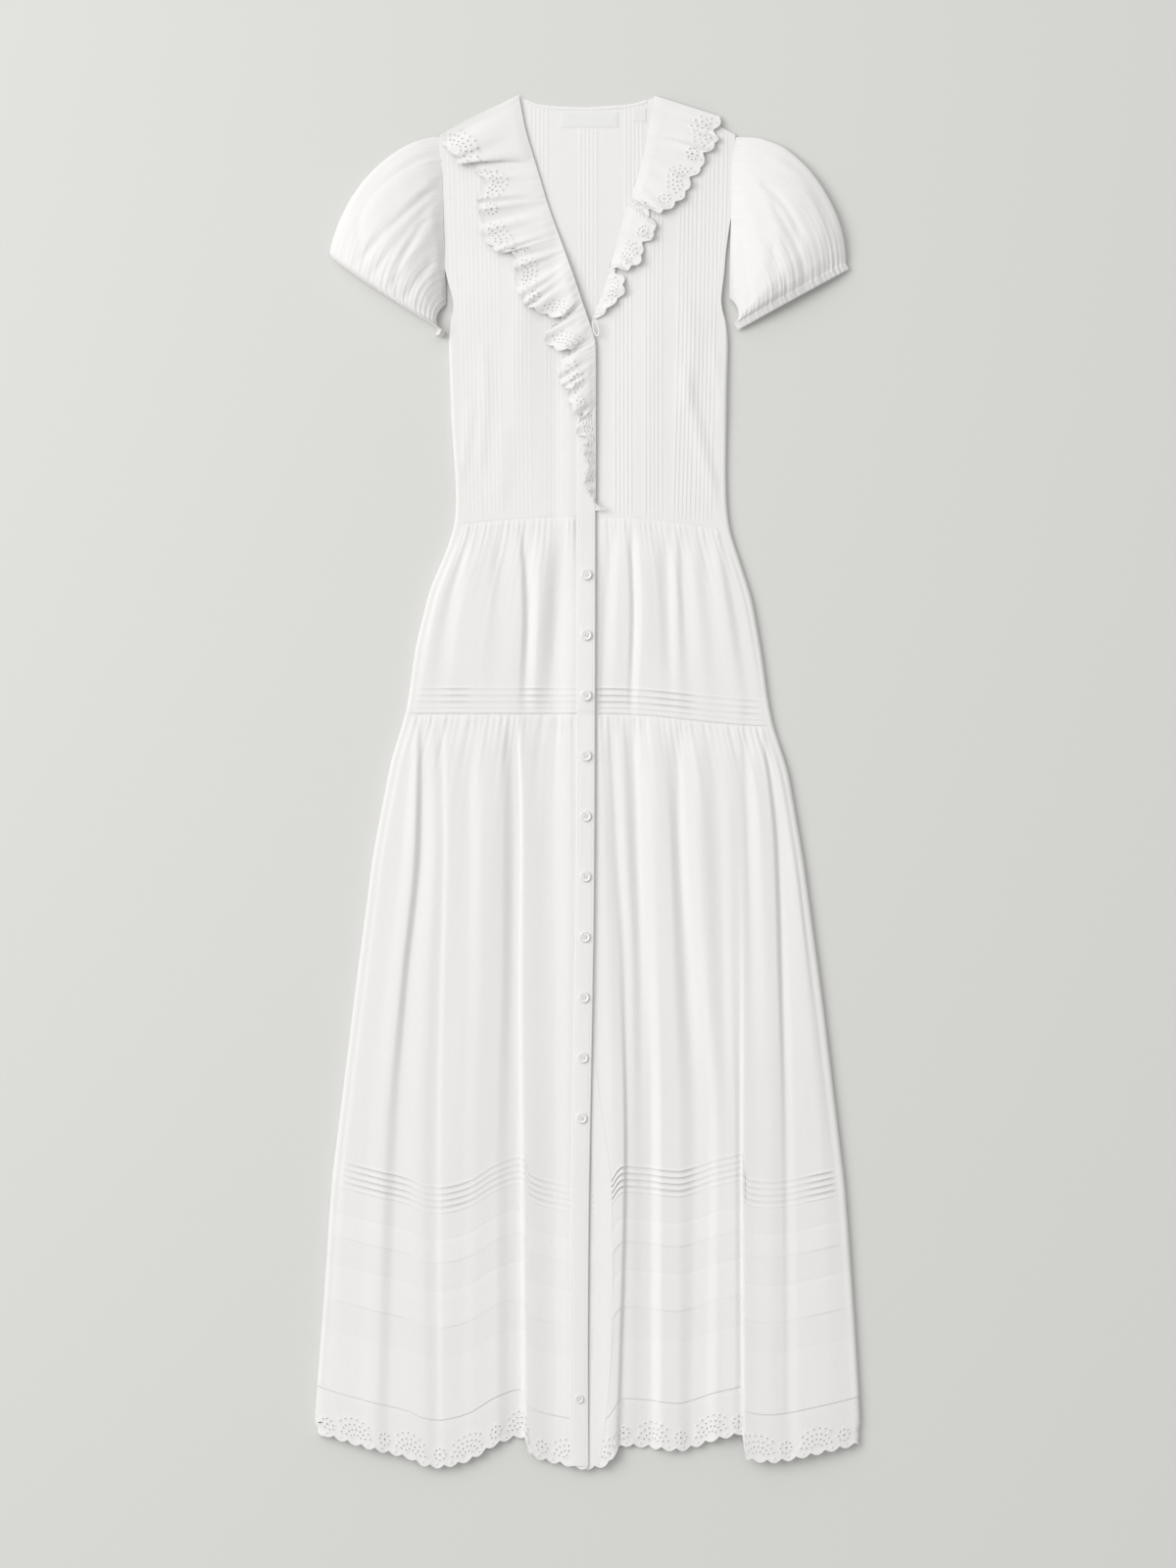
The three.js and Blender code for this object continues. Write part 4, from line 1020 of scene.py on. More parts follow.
def bodice_front(side):
    """One front of the bodice, pintucked lengthwise, with the part turned under at the side."""
    columns = bodice_columns(side)
    line = columns[:, 0].astype(int)
    number = np.arange(len(columns))
    until = np.array([side.groups[min(index // 2, len(side.groups) - 1)].until for index in line])
    underarm = (side.top(side.sign * 140) - UNDERARM_Y) / (side.top(side.sign * 140) - WAIST_Y)
    shares = np.concatenate([np.linspace(0, underarm, 30), np.linspace(underarm, 0.985, 34)[1:],
                             [0.991, 0.996, 1.0]])
    grid, strip = [], []
    for share in shares:
        y = np.full(len(columns), mix(640, WAIST_Y, share))
        for _ in range(8):
            lines = bodice_lines(side, y)
            out = mix(lines[line, number], lines[line + 1, number], columns[:, 1])
            x = side.sign * out
            y = mix(side.top(x), side.waist(x), share)
        centre, radius = side.turn(y)
        fade = ramp(0, 0.02, share) * ramp(1, 0.985, share)
        z = front_height(side, x, y) + columns[:, 2] * side.tuck_rise * fade * ramp(until, until + 30, y)
        beside = ramp(8, 0, centre - out) * ramp(UNDERARM_Y + ARMHOLE_FADE, UNDERARM_Y, y)
        z = mix(z, FLOOR + 2 * radius, beside)
        grid.append(np.stack([x, y, z], axis=-1))
        if share >= underarm:
            start = grid[-1][-1:]
            swell = float(ramp(UNDERARM_Y + 2, UNDERARM_Y - 34, y[-1]))
            radius = float(z[-1] - FLOOR) / 2
            turned = turned_points(side, float(y[-1]), float(out[-1]), radius, FLOOR, swell)
            strip.append(np.concatenate([start, turned]))
    points, faces = joined(np.array(grid), np.array(strip))
    node = f"bodice_front_{side.word}"
    piece = cloth(f"{node}_cloth", points, faces, [VOILE])
    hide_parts(node)


for side in SIDES:
    bodice_front(side)

# ---- backs ---------------------------------------------------------------------------------

BACK_INSET = 6          # the back's own side folds lie this far inside the fronts'
BACK_TUCK_RISE = 0.4
BACK_COLUMNS = 150
BODICE_BACK_COLUMNS = 310


def back_reach(side, y):
    below = ramp(UNDERARM_Y + ARMHOLE_FADE, UNDERARM_Y, y)
    return side.sign * side.side_x(np.minimum(y, SHOULDER_END_Y)) - mix(0.4, BACK_INSET, below)


def back_ridges(x):
    """Lengthwise pintucks of the bodice's back, as they show on its inner side."""
    total = np.zeros(np.shape(x))
    for start in BACK_GROUPS:
        for tuck in range(5):
            centre = start + tuck * GROUP_PITCH + 2
            total = np.maximum(total, bump(x - centre, 0.9))
    return total * BACK_TUCK_RISE


def back_cloth(part, rows, columns, ridges=None, trim=()):
    """A back panel: its rows run from one side fold to the other, and round both to the seams."""
    share = np.linspace(-1, 1, columns)
    main, strips = [], {side.word: [] for side in SIDES}
    for at in rows:
        y = at(share * 130)
        for _ in range(4):
            out = mix(back_reach(LEFT, y), back_reach(RIGHT, y), share > 0)
            x = share * out
            y = at(x)
        z = back_height(x, y)
        if ridges:
            z = z + ridges(x)
        row = np.stack([x, y, z], axis=-1)
        main.append(row)
        for side, end in ((LEFT, 0), (RIGHT, -1)):
            if y[end] <= UNDERARM_Y + 0.5:
                start = row[end]
                turned = turned_points(side, float(start[Y]), float(side.sign * start[X]),
                                       float(start[Z] - FLOOR - PITCH) / 2, FLOOR + PITCH)
                strips[side.word].append(np.concatenate([start[None], turned]))
    left = np.array(strips["left"])[:, ::-1]
    points, faces = joined(np.array(main), left, np.array(strips["right"]))
    piece = cloth(f"{part}_back_cloth", points, faces, [VOILE])
    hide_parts(f"{part}_back")


def upper_line(node, reach):
    """The upper line of a CAD piece, as a function of the place across."""
    read = Outline([node], X).high
    return lambda x: read(np.clip(x, -reach, reach))


back_top = upper_line("bodice_back", 143)
back_waist = upper_line("upper_tier_back", 118)
back_seam = upper_line("lower_tier_back", 165)
BACK_HEM_RISE = 4       # the back's hem lies this far above the front's


def back_hem(x):
    return mix(LEFT.hem(x), RIGHT.hem(x), ramp(-2, 2, x)) + BACK_HEM_RISE


def between(upper, lower, share):
    return lambda x: mix(upper(x), lower(x), share)


def raised(line, rise):
    return lambda x: line(x) + rise


# Across the neck binding: distance below the neckline, and height above the back.
BINDING_PROFILE = [(-0.3, -0.2), (-0.1, 0.35), (0.6, 0.6), (1.6, 0.62), (2.3, 0.5), (2.6, 0.3), (3.0, 0.15)]


def neck_binding():
    """The narrow rolled edge along the back of the neck."""
    low, high = (np.array(corner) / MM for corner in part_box("neck_binding"))
    x = np.linspace(low[X], high[X], 120)
    top = back_top(x)
    rows = []
    for inset, rise in BINDING_PROFILE:
        rows.append(np.stack([x, top - inset, back_height(x, top) + rise], axis=-1))
    grid = np.array(rows)
    piece = cloth("neck_binding_cloth", grid.reshape(-1, 3), grid_faces(*grid.shape[:2]), [DOUBLED_VOILE],
                  0.5)
    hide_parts("neck_binding")
    return piece


underarm_share = (float(back_top(140)) - UNDERARM_Y) / (float(back_top(140)) - float(back_waist(118)))
back_shares = np.concatenate([np.linspace(0, underarm_share, 28), np.linspace(underarm_share, 1, 22)[1:]])
back_cloth("bodice", [between(back_top, back_waist, share) for share in back_shares],
           BODICE_BACK_COLUMNS, back_ridges, [neck_binding()])
back_cloth("upper_tier", [between(back_waist, raised(back_seam, 0.3), share)
                          for share in np.linspace(0, 1, 32)], BACK_COLUMNS)
back_cloth("lower_tier", [between(back_seam, raised(back_hem, BORDER_TOP), share)
                          for share in np.linspace(0, 1, 52)], BACK_COLUMNS)

# ---- broderie: a tile with eyelets, laid along the hem and the frills ------------------------

REPEAT = 4 * SCALLOP
RIM_WIDTH = 0.6
EYELET_SIDES = 8
EDGE_WIDTH = 1.5        # embroidered edge of the scallops


def arc_of_eyelets(s, t, reach, first, last, count, radius):
    angles = np.radians(np.linspace(first, last, count))
    return [Eyelet(s + reach * math.cos(angle), t + reach * math.sin(angle), radius) for angle in angles]


def eyelet_motif():
    """A fan of eyelets and a ring of them, which repeat along the border."""
    eyelets = arc_of_eyelets(20, 4.5, 6.5, 40, 140, 4, 0.6)
    eyelets += arc_of_eyelets(20, 4.5, 11, 25, 155, 7, 0.66)
    eyelets += arc_of_eyelets(20, 4.5, 16, 20, 160, 9, 0.6)
    eyelets += arc_of_eyelets(20, 4.5, 21.5, 50, 130, 6, 0.54)
    eyelets += arc_of_eyelets(47.5, 13.5, 5.4, 0, 315, 8, 0.6)
    eyelets += arc_of_eyelets(47.5, 13.5, 0, 0, 0, 1, 0.8)
    eyelets += [Eyelet(SCALLOP * (number + 0.5), 3.9, 0.46) for number in (0, 2, 3)]
    return eyelets


EYELETS = eyelet_motif()


def scallop_edge(s):
    return SCALLOP_DEPTH * (1 - np.abs(np.sin(math.pi * s / SCALLOP)))


def border_tile(top, spacing):
    """Flat points (s along, t up), their extra thickness, triangles and which are embroidered."""
    edge_s = np.linspace(0, REPEAT, 4 * 10 + 1)
    levels = [EDGE_WIDTH, EDGE_WIDTH + 0.6]
    places, extra, loops = [], [], []

    def add(points, thicker, closed):
        first = len(places)
        places.extend(points)
        extra.extend([thicker] * len(points))
        numbers = list(range(first, len(places)))
        loops.extend(zip(numbers[:-1], numbers[1:]))
        if closed:
            loops.append((numbers[-1], first))

    side_t = [*np.arange(8, top - 2, 4.0)]
    add([(s, float(scallop_edge(s))) for s in edge_s], 0.25, False)
    add([(s, float(scallop_edge(s)) + levels[0]) for s in edge_s], 0.25, False)
    add([(s, float(scallop_edge(s)) + levels[1]) for s in edge_s], 0.0, False)
    steps = int(REPEAT / spacing)
    add([(s, top) for s in np.linspace(0, REPEAT, steps + 1)], 0.0, False)
    for s in (0.0, REPEAT):
        places.extend([(s, t) for t in side_t])
        extra.extend([0.0] * len(side_t))
    for eyelet in EYELETS:
        for reach, thicker in ((0, RIM_RISE), (RIM_WIDTH * 0.6, RIM_RISE), (RIM_WIDTH, 0.0)):
            angles = np.arange(EYELET_SIDES) * 2 * math.pi / EYELET_SIDES
            ring = [(eyelet.s + (eyelet.radius + reach) * math.cos(a),
                     eyelet.t + (eyelet.radius + reach) * math.sin(a)) for a in angles]
            add(ring, thicker, True)
    centres = np.array([(eyelet.s, eyelet.t) for eyelet in EYELETS])
    for number, t in enumerate(np.arange(7.5, top - 1, spacing)):
        shift = 0.5 * (number % 2)
        for s in (np.arange(steps) + 0.25 + shift) * REPEAT / steps:
            if np.hypot(*(centres - (s, t)).T).min() > 2.6:
                places.append((s, t))
                extra.append(0.0)
    found = delaunay_2d_cdt([Vector(place) for place in places], loops, [], 0, 1e-6)
    flat = np.array([tuple(place) for place in found[0]])
    source = np.array([origin[0] for origin in found[3]])
    thicker = np.array(extra)[source]
    faces = np.array(found[2])
    middle = flat[faces].mean(axis=1)
    distance = np.hypot(middle[:, :1] - centres[:, 0], middle[:, 1:] - centres[:, 1])
    radii = np.array([eyelet.radius for eyelet in EYELETS])
    inside = (distance < radii * 0.97).any(axis=1) | (middle[:, 1] < scallop_edge(middle[:, 0]) + 0.01)
    stitched = (distance < radii + RIM_WIDTH).any(axis=1)
    stitched |= middle[:, 1] < scallop_edge(middle[:, 0]) + EDGE_WIDTH
    kept = ~inside
    return flat, thicker, faces[kept], stitched[kept]


def tiled(tile, length):
    """The tile repeated along a length: flat points, extra thickness, faces, embroidered faces."""
    flat, thicker, faces, stitched = tile
    count = max(1, round(length / REPEAT))
    scale = length / (count * REPEAT)
    places = np.concatenate([flat + (REPEAT * number, 0) for number in range(count)])
    all_faces = np.concatenate([faces + len(flat) * number for number in range(count)])
    keys = np.round(places * 100).astype(np.int64)
    _, first, index = np.unique(keys, axis=0, return_index=True, return_inverse=True)
    places = places[first] * (scale, 1)
    return places, np.tile(thicker, count)[first], index.reshape(-1)[all_faces], np.tile(stitched, count)


def broderie(name, node, points, faces, thicker, stitched):
    """A piece of broderie, laid at the points given. stitched marks its embroidered faces."""
    piece = cloth(name, points, faces, [BRODERIE, EMBROIDERY], CLOTH + thicker, stitched)
    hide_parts(node)


HEM_TILE = border_tile(BORDER_TOP + BORDER_LAP, 4.2)
BORDER_SINK = 0.35      # the border dips this far where it goes under the last tuck


def hem_course(side):
    """Distances out and heights along the front's hem, and the length up to each."""
    y = side.hem(side.sign * 200.0) + 12
    centre = float(side.turn(y)[0])
    out = np.linspace(side.sign * float(side.edge_x(-640.0)), centre, 500)
    x = side.sign * out
    z = front_height(side, x, side.hem(x) + 12)
    line = side.hem(x)
    steps = np.sqrt(np.diff(out) ** 2 + np.diff(z) ** 2 + np.diff(line) ** 2 * 0.3)
    return out, np.concatenate([[0], np.cumsum(steps)])


def hem_border(side):
    """The broderie along a front's hem, round the side fold and on under it."""
    out_at, length_at = hem_course(side)
    end_y = float(side.hem(side.sign * HEM_REACH))
    centre, radius = (float(value) for value in side.turn(end_y + 20))
    flap = centre - abs(float(side.flap_x(end_y + 20)))
    front, round_part = length_at[-1], math.pi * radius
    places, thicker, faces, stitched = tiled(HEM_TILE, front + round_part + flap)
    s, t = places[:, 0], places[:, 1]
    out = np.interp(s, length_at, out_at)
    x = side.sign * out
    y = side.hem(x) + t
    centre_y, radius_y = side.turn(y)
    share = out / centre
    out = np.where(share > 0.5, mix(out, out * centre_y / centre, ramp(0.5, 1, share)), out)
    x = side.sign * out
    z = front_height(side, x, y)
    z = mix(FLOOR + 2 * radius_y, z, ramp(0, 6, centre_y - out))
    z = z - BORDER_SINK * ramp(BORDER_TOP - 3, BORDER_TOP, t)
    angle = np.clip((s - front) / radius, 0, math.pi)
    turned = s > front
    out = np.where(turned, centre_y + radius_y * np.sin(angle), out)
    z = np.where(turned, FLOOR + radius_y + radius_y * np.cos(angle), z)
    under = np.clip((s - front - round_part) / flap, 0, 1)
    flap_out = np.abs(side.flap_x(y))
    out = np.where(under > 0, mix(centre_y, flap_out, under), out)
    points = np.stack([side.sign * out, y, z], axis=-1)
    broderie(f"hem_border_{side.word}_cloth", f"hem_border_{side.word}", points, faces, thicker, stitched)


def hem_border_back():
    reach = 255.0
    length = 2 * reach * 1.02
    places, thicker, faces, stitched = tiled(HEM_TILE, length)
    s, t = places[:, 0], places[:, 1]
    share = 2 * s / length - 1
    y = back_hem(share * 250) + t
    out = np.where(share < 0, back_reach(LEFT, y), back_reach(RIGHT, y))
    x = share * out
    y = back_hem(x) + t
    z = back_height(x, y)
    points = np.stack([x, y, z], axis=-1)
    broderie("hem_border_back_cloth", "hem_border_back", points, faces, thicker, stitched)


for side in SIDES:
    hem_border(side)
hem_border_back()

# ---- frills at the neck ----------------------------------------------------------------------

FRILL_TOP = 76          # width of the frill's cloth, from its scallops to its seam
FRILL_TILE = border_tile(FRILL_TOP, 2.9)
SEAM_GATHER = 5.8       # from one gather to the next along the frill's seam
FRILL_RIPPLE = 18       # from one soft wave to the next along its free edge
FRILL_SEAM_RISE = 0.4


def frill(side, ribs, seed):
    """A gathered frill whose free edge runs through the ends of its ribs."""
    along = np.arange(len(ribs), dtype=float)
    table = np.array([(rib.along, rib.x, rib.y, rib.lift) for rib in ribs])
    fine = np.linspace(0, len(ribs) - 1, 40 * len(ribs))
    edge = curve(along, table, fine)
    steps = np.hypot(np.diff(edge[:, 1]), np.diff(edge[:, 2]))
    lengths = np.concatenate([[0], np.cumsum(np.hypot(steps, np.diff(edge[:, 3])))])
    places, thicker, faces, stitched = tiled(FRILL_TILE, lengths[-1])
    s, t = places[:, 0], places[:, 1]
    rib = np.interp(s, lengths, fine)
    seam_y, edge_x, edge_y, lift = curve(along, table, rib).T
    seam_x = side.edge_x(seam_y)
    length = np.maximum(np.hypot(edge_x - seam_x, edge_y - seam_y), 6)
    remaining = np.clip(1 - t / FRILL_TOP, 0, 1)
    inward = 1 - remaining ** (FRILL_TOP / length)
    out = 1 - inward                       # 1 at the free edge and 0 at the seam
    x = mix(seam_x, edge_x, out)
    y = mix(seam_y, edge_y, out)
    base = front_height(side, x, y) + CLOTH
    base += DOUBLED * ramp(-17, -13, x) * ramp(432, 424, y)
    random = np.random.default_rng(seed)
    phases = random.uniform(-0.9, 0.9, 400)
    wave = seam_y / SEAM_GATHER + np.interp(seam_y, np.arange(400) * 3.0, blurred(phases, 1.2))
    reach = out * length
    fine_gathers = (0.4 + 0.4 * np.sin(2 * math.pi * wave)) * np.exp(-reach / 18) * ramp(0, 2.5, reach)
    ripple_at = s / FRILL_RIPPLE + np.interp(s, np.arange(400) * 9.0, blurred(phases, 1.0))
    ripple = (1 + np.sin(2 * math.pi * ripple_at)) * ramp(0.05, 0.8, out) * np.minimum(lift, 2.4) * 0.7
    raised_by = FRILL_SEAM_RISE + lift * (0.35 * ramp(0, 10, reach) + 0.55 * ramp(0, 1, out) ** 0.8)
    z = base + raised_by + fine_gathers + ripple
    points = np.stack([x, y, z], axis=-1)
    node = f"neck_ruffle_{side.word}"
    broderie(f"{node}_cloth", node, points, faces, thicker, stitched)


frill(LEFT, FRILL_LEFT, 21)
frill(RIGHT, FRILL_RIGHT, 22)

# ---- sleeves ---------------------------------------------------------------------------------

SLEEVE_SHARES = [0, 0.1, 0.28, 0.5, 0.7, 0.88, 1]       # from armhole to cuff
SLEEVE_SWELL = [0.13, 0.46, 0.78, 0.97, 1.0, 0.86, 0.58]    # share of the puff's full height
SLEEVE_TOP = 190
SLEEVE_UNDER = 20
SLEEVE_RINGS = 78
ARMHOLE_EASE = 0.9      # degrees before the armhole line at which the outline is last read
ARMHOLE_LAP = 2.0       # degrees beyond that, in under the bodice's edge
SLEEVE_INNER = {"left": (27, 8), "right": (28, 6)}  # nearest reach from the pivot, at armhole and cuff
SLEEVE_MIDDLE = 0.34    # share of the puff's height at which its two edges lie
SLEEVE_CREASE_SHARE = 0.42      # of the depths in the crease tables
HEAD_RIDGES, CUFF_RIDGES = 52, 25
PIVOTS = {"left": (-136.2, 435.3), "right": (137.2, 440.5)}     # where armhole and cuff lines cross


def polar(points, pivot):
    """Angle of each point above the line straight out from a pivot, in degrees, and its distance."""
    angle = np.degrees(np.arctan2(points[:, 1] - pivot[1], np.abs(points[:, 0] - pivot[0])))
    return angle, np.hypot(points[:, 0] - pivot[0], points[:, 1] - pivot[1])


def polar_outline(node, pivot):
    """Furthest reach of a CAD piece from a pivot, at each angle round it."""
    start, end = cad_edges([node])
    start_angle, start_reach = polar(start, pivot)
    end_angle, end_reach = polar(end, pivot)
    angles = np.linspace(max(start_angle.min(), 20), start_angle.max() - ARMHOLE_EASE, 60)
    far = []
    for place in angles:
        crossing = ((start_angle - place) * (end_angle - place) <= 0) & (start_angle != end_angle)
        part = (place - start_angle[crossing]) / (end_angle[crossing] - start_angle[crossing])
        far.append(mix(start_reach[crossing], end_reach[crossing], part).max())
    return angles, blurred(far, 1.5)


def ridge_rows(random, count, last, rise, lengths):
    """Ridges across a sleeve: place from 0 to 1, width, height and length for each."""
    places = (np.arange(count) + random.uniform(-0.28, 0.28, count)) / count * last
    return np.stack([places, random.uniform(0.26, 0.42, count) / count * last,
                     rise * random.uniform(0.4, 1.0, count), random.uniform(*lengths, count)], axis=-1)


def sleeve(side, creases, seed):
    random = np.random.default_rng(seed)
    pivot = PIVOTS[side.word]
    node = f"sleeve_{side.word}"
    angles, far = polar_outline(node, pivot)
    top_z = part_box(node)[1].z / MM - FLOOR
    last_angle, first_angle = angles[0], angles[-1] + ARMHOLE_LAP
    head = ridge_rows(random, HEAD_RIDGES, 1.0, 0.55, (10, 48))
    cuff = ridge_rows(random, CUFF_RIDGES, 1.0, 1.5, (10, 46))
    rings = (1 - np.cos(np.linspace(0, math.pi, SLEEVE_RINGS))) / 2
    rings = mix(rings, np.linspace(0, 1, SLEEVE_RINGS), 0.35)
    phi = np.linspace(0, math.pi, SLEEVE_TOP)
    grid = []
    for ring in rings:
        angle = mix(first_angle, last_angle, ring)
        outer = float(np.interp(angle, angles, far)) - 0.6
        inner = mix(*SLEEVE_INNER[side.word], ring)
        height = top_z * float(curve(SLEEVE_SHARES, SLEEVE_SWELL, np.array([ring]))[0])
        across = (1 - np.cos(phi)) / 2
        across = mix(across, np.linspace(0, 1, SLEEVE_TOP), 0.5)
        reach = mix(inner, outer, across)
        direction = (side.sign * math.cos(math.radians(angle)), math.sin(math.radians(angle)))
        x = pivot[0] + reach * direction[0]
        y = pivot[1] + reach * direction[1]
        arch = np.sin(math.pi * across) ** 0.62
        middle = FLOOR + SLEEVE_MIDDLE * height
        z = middle + (height - SLEEVE_MIDDLE * height) * arch
        from_head = reach * math.radians(first_angle - angle)
        from_cuff = reach * math.radians(angle - last_angle)
        small = np.zeros(len(across))
        for place, width, rise, length in head:
            small += rise * bump(across - place, width) * np.exp(-from_head / length)
        for place, width, rise, length in cuff:
            small += rise * bump(across - place, width) * np.exp(-from_cuff / length)
        small -= 0.7 * np.exp(-from_cuff / 20)
        sink = crease_depth(creases, x, y) * SLEEVE_CREASE_SHARE
        z = z + (small - sink) * ramp(0, 0.06, across) * ramp(1, 0.94, across)
        z = np.maximum(z, FLOOR + CLOTH + 0.6)
        under = np.linspace(1, 0, SLEEVE_UNDER + 2)[1:-1]
        under_reach = mix(inner + 1.5, outer - 1.5, under)
        under_z = FLOOR + (middle - FLOOR) * (1 - np.sin(math.pi * under) ** 0.25)
        under_x = pivot[0] + under_reach * direction[0]
        under_y = pivot[1] + under_reach * direction[1]
        beside_edge = (under < 0.06) | (under > 0.94)
        under_points = np.stack([under_x, under_y, np.where(beside_edge, under_z, FLOOR)], axis=-1)
        grid.append(np.concatenate([np.stack([x, y, z], axis=-1), under_points]))
    grid = np.array(grid)
    faces = grid_faces(*grid.shape[:2], closed=True)
    points = grid.reshape(-1, 3)
    outward = face_normals(points, faces)[:SLEEVE_TOP, Z].sum()
    if outward < 0:
        faces = faces[:, ::-1]
    shell, sides, rim = thickened(points, faces, CLOTH)
    piece = new_object(f"{node}_cloth", shell, sides, rim, [VOILE], None)
    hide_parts(node)
    band_piece = cuff_band(side, grid[-1], last_angle)


# Across a cuff: distance past the sleeve's last ring, and how far its upper side swells.
CUFF_PROFILE = [(-0.6, 0.2), (0.5, 0.5), (1.6, 0.1), (3.4, 0.25), (5.2, 0.1), (6.2, -0.3)]


def cuff_band(side, ring, angle):
    """The narrow band that gathers the sleeve: it carries on from the last ring."""
    turn = math.radians(angle)
    away = np.array([side.sign * math.sin(turn), -math.cos(turn), 0.0])
    middle_z = FLOOR + 4
    rows = []
    for distance, swell in CUFF_PROFILE:
        row = ring + away * distance
        squeezed = (row[:, Z] - FLOOR) * (1 - 0.035 * distance)
        row[:, Z] = FLOOR + squeezed + swell * np.sign(row[:, Z] - middle_z).clip(0)
        row[:, Z] = np.maximum(row[:, Z], DOUBLED / 2 + 0.15)
        rows.append(row)
    grid = np.array(rows)
    faces = grid_faces(*grid.shape[:2], closed=True)
    points = grid.reshape(-1, 3)
    if face_normals(points, faces)[:SLEEVE_TOP, Z].sum() < 0:
        faces = faces[:, ::-1]
    shell, sides, rim = thickened(points, faces, DOUBLED)
    node = f"cuff_{side.word}"
    piece = new_object(f"{node}_cloth", shell, sides, rim, [DOUBLED_VOILE], None)
    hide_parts(node)
    return piece


sleeve(LEFT, SLEEVE_LEFT_CREASES, 31)
sleeve(RIGHT, SLEEVE_RIGHT_CREASES, 32)

# ---- button bands ----------------------------------------------------------------------------

STITCH_INSET = 1.6


def band(side, node, lift, groove):
    """A narrow doubled strip along a front edge, with a line of stitching inside each long edge."""
    outline = Outline([node], Y)
    low_y, high_y = outline.places[0], outline.places[-1]
    profile = [(0.0, -0.35), (0.4, -0.08), (1.0, 0.0), (STITCH_INSET - 0.3, 0.0), (STITCH_INSET, -groove),
               (STITCH_INSET + 0.3, 0.0), (3.2, 0.05)]
    across = [*profile, (BAND_WIDTH / 2, 0.1)] + [(BAND_WIDTH - out, z) for out, z in profile[::-1]]
    rows = []
    for y in np.linspace(high_y, low_y, 420):
        left = float(outline.high(y)) - BAND_WIDTH if side.sign < 0 else float(outline.low(y))
        x = left + np.array([out for out, _ in across])
        bottom = side.hem(x) if y < low_y + 40 else np.full(len(x), -1000.0)
        ys = np.maximum(y, bottom + 0.5)
        z = front_height(side, x, ys) + lift + np.array([rise for _, rise in across])
        rows.append(np.stack([x, ys, z], axis=-1))
    grid = np.array(rows)
    points = grid.reshape(-1, 3)
    faces = grid_faces(*grid.shape[:2])
    piece = cloth(f"{node}_cloth", points, faces, [DOUBLED_VOILE], DOUBLED)
    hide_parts(node)


band(LEFT, "button_placket", CLOTH / 2 + DOUBLED / 2, 0.12)
band(RIGHT, "under_placket", 0.15, 0)

# ---- small pieces of the neck ----------------------------------------------------------------

LABEL_LIFT = 0.5
LABEL_CLOTH = 0.35
LABEL_HEM = 1.2         # width of a label's turned edge
LABEL_COLUMNS, LABEL_ROWS = 14, 8


def label_places(length, count):
    """Places across a label, close together over its turned edges."""
    edge = [0, 0.15, 0.4, LABEL_HEM]
    inner = np.linspace(LABEL_HEM + 0.4, length - LABEL_HEM - 0.4, count)
    return np.array([*edge, *inner, *(length - inset for inset in edge[::-1])])


def label(node):
    """A bare label with turned edges, over a CAD piece's own outline."""
    low, high = (np.array(corner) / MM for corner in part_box(node))
    x, y = np.meshgrid(low[X] + label_places(high[X] - low[X], LABEL_COLUMNS),
                       high[Y] - label_places(high[Y] - low[Y], LABEL_ROWS))
    edge = np.minimum(np.minimum(x - low[X], high[X] - x), np.minimum(y - low[Y], high[Y] - y))
    z = back_height(x, y) + LABEL_LIFT + 0.12 * ramp(0, 0.4, edge) - 0.08 * bump(edge - LABEL_HEM, 0.25)
    grid = np.stack([x, y, z], axis=-1)
    piece = cloth(f"{node}_cloth", grid.reshape(-1, 3), grid_faces(*grid.shape[:2]), [LABEL],
                  LABEL_CLOTH)
    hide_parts(node)


label("neck_label")
label("care_label")


LOOP_SIDES = 10
LOOP_LIFT = 4.4         # above the top of the loop's CAD piece


def neck_loop():
    """A thin rouleau loop at the lowest point of the neckline, open at both ends."""
    low, high = (np.array(corner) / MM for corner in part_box("neck_loop"))
    middle = (low + high) / 2
    angles = np.radians(np.linspace(100, 440, 60))
    centre_x, centre_y = middle[X] - 1.6, middle[Y]
    path = np.stack([centre_x + 2.7 * np.cos(angles) - 1.2 * np.sin(angles),
                     centre_y + 7.0 * np.sin(angles), np.full(len(angles), high[Z] + LOOP_LIFT)], axis=-1)
    grid = []
    along = np.gradient(path, axis=0)
    along /= np.linalg.norm(along, axis=1, keepdims=True)
    across = np.stack([-along[:, 1], along[:, 0], np.zeros(len(along))], axis=-1)
    for angle in np.linspace(0, 2 * math.pi, LOOP_SIDES + 1)[:-1]:
        offset = across * math.cos(angle) * 0.8 + np.array([0, 0, 1.0]) * math.sin(angle) * 0.6
        grid.append(path + offset)
    grid = np.swapaxes(np.array(grid), 0, 1)
    faces = grid_faces(*grid.shape[:2], closed=True)
    piece = new_object("neck_loop_cloth", grid.reshape(-1, 3), faces, (), [DOUBLED_VOILE], None)
    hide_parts("neck_loop")


neck_loop()

# ---- buttons ---------------------------------------------------------------------------------

BUTTON_SEGMENTS = 40
BUTTON_HOLE = 0.55
HOLE_OFFSET = 1.15
HOLE_SIDES = 12
THREAD_RADIUS = 0.3
THREAD_SIDES = 8


def button_profile(radius, height):
    """Distance out and height of the lathe's rings, from the rim's foot over the rim to the dish."""
    return [(radius * 0.86, 0.0), (radius * 0.97, height * 0.22), (radius, height * 0.5),
            (radius * 0.97, height * 0.8), (radius * 0.88, height), (radius * 0.78, height * 0.98),
            (radius * 0.66, height * 0.78), (radius * 0.58, height * 0.72)]


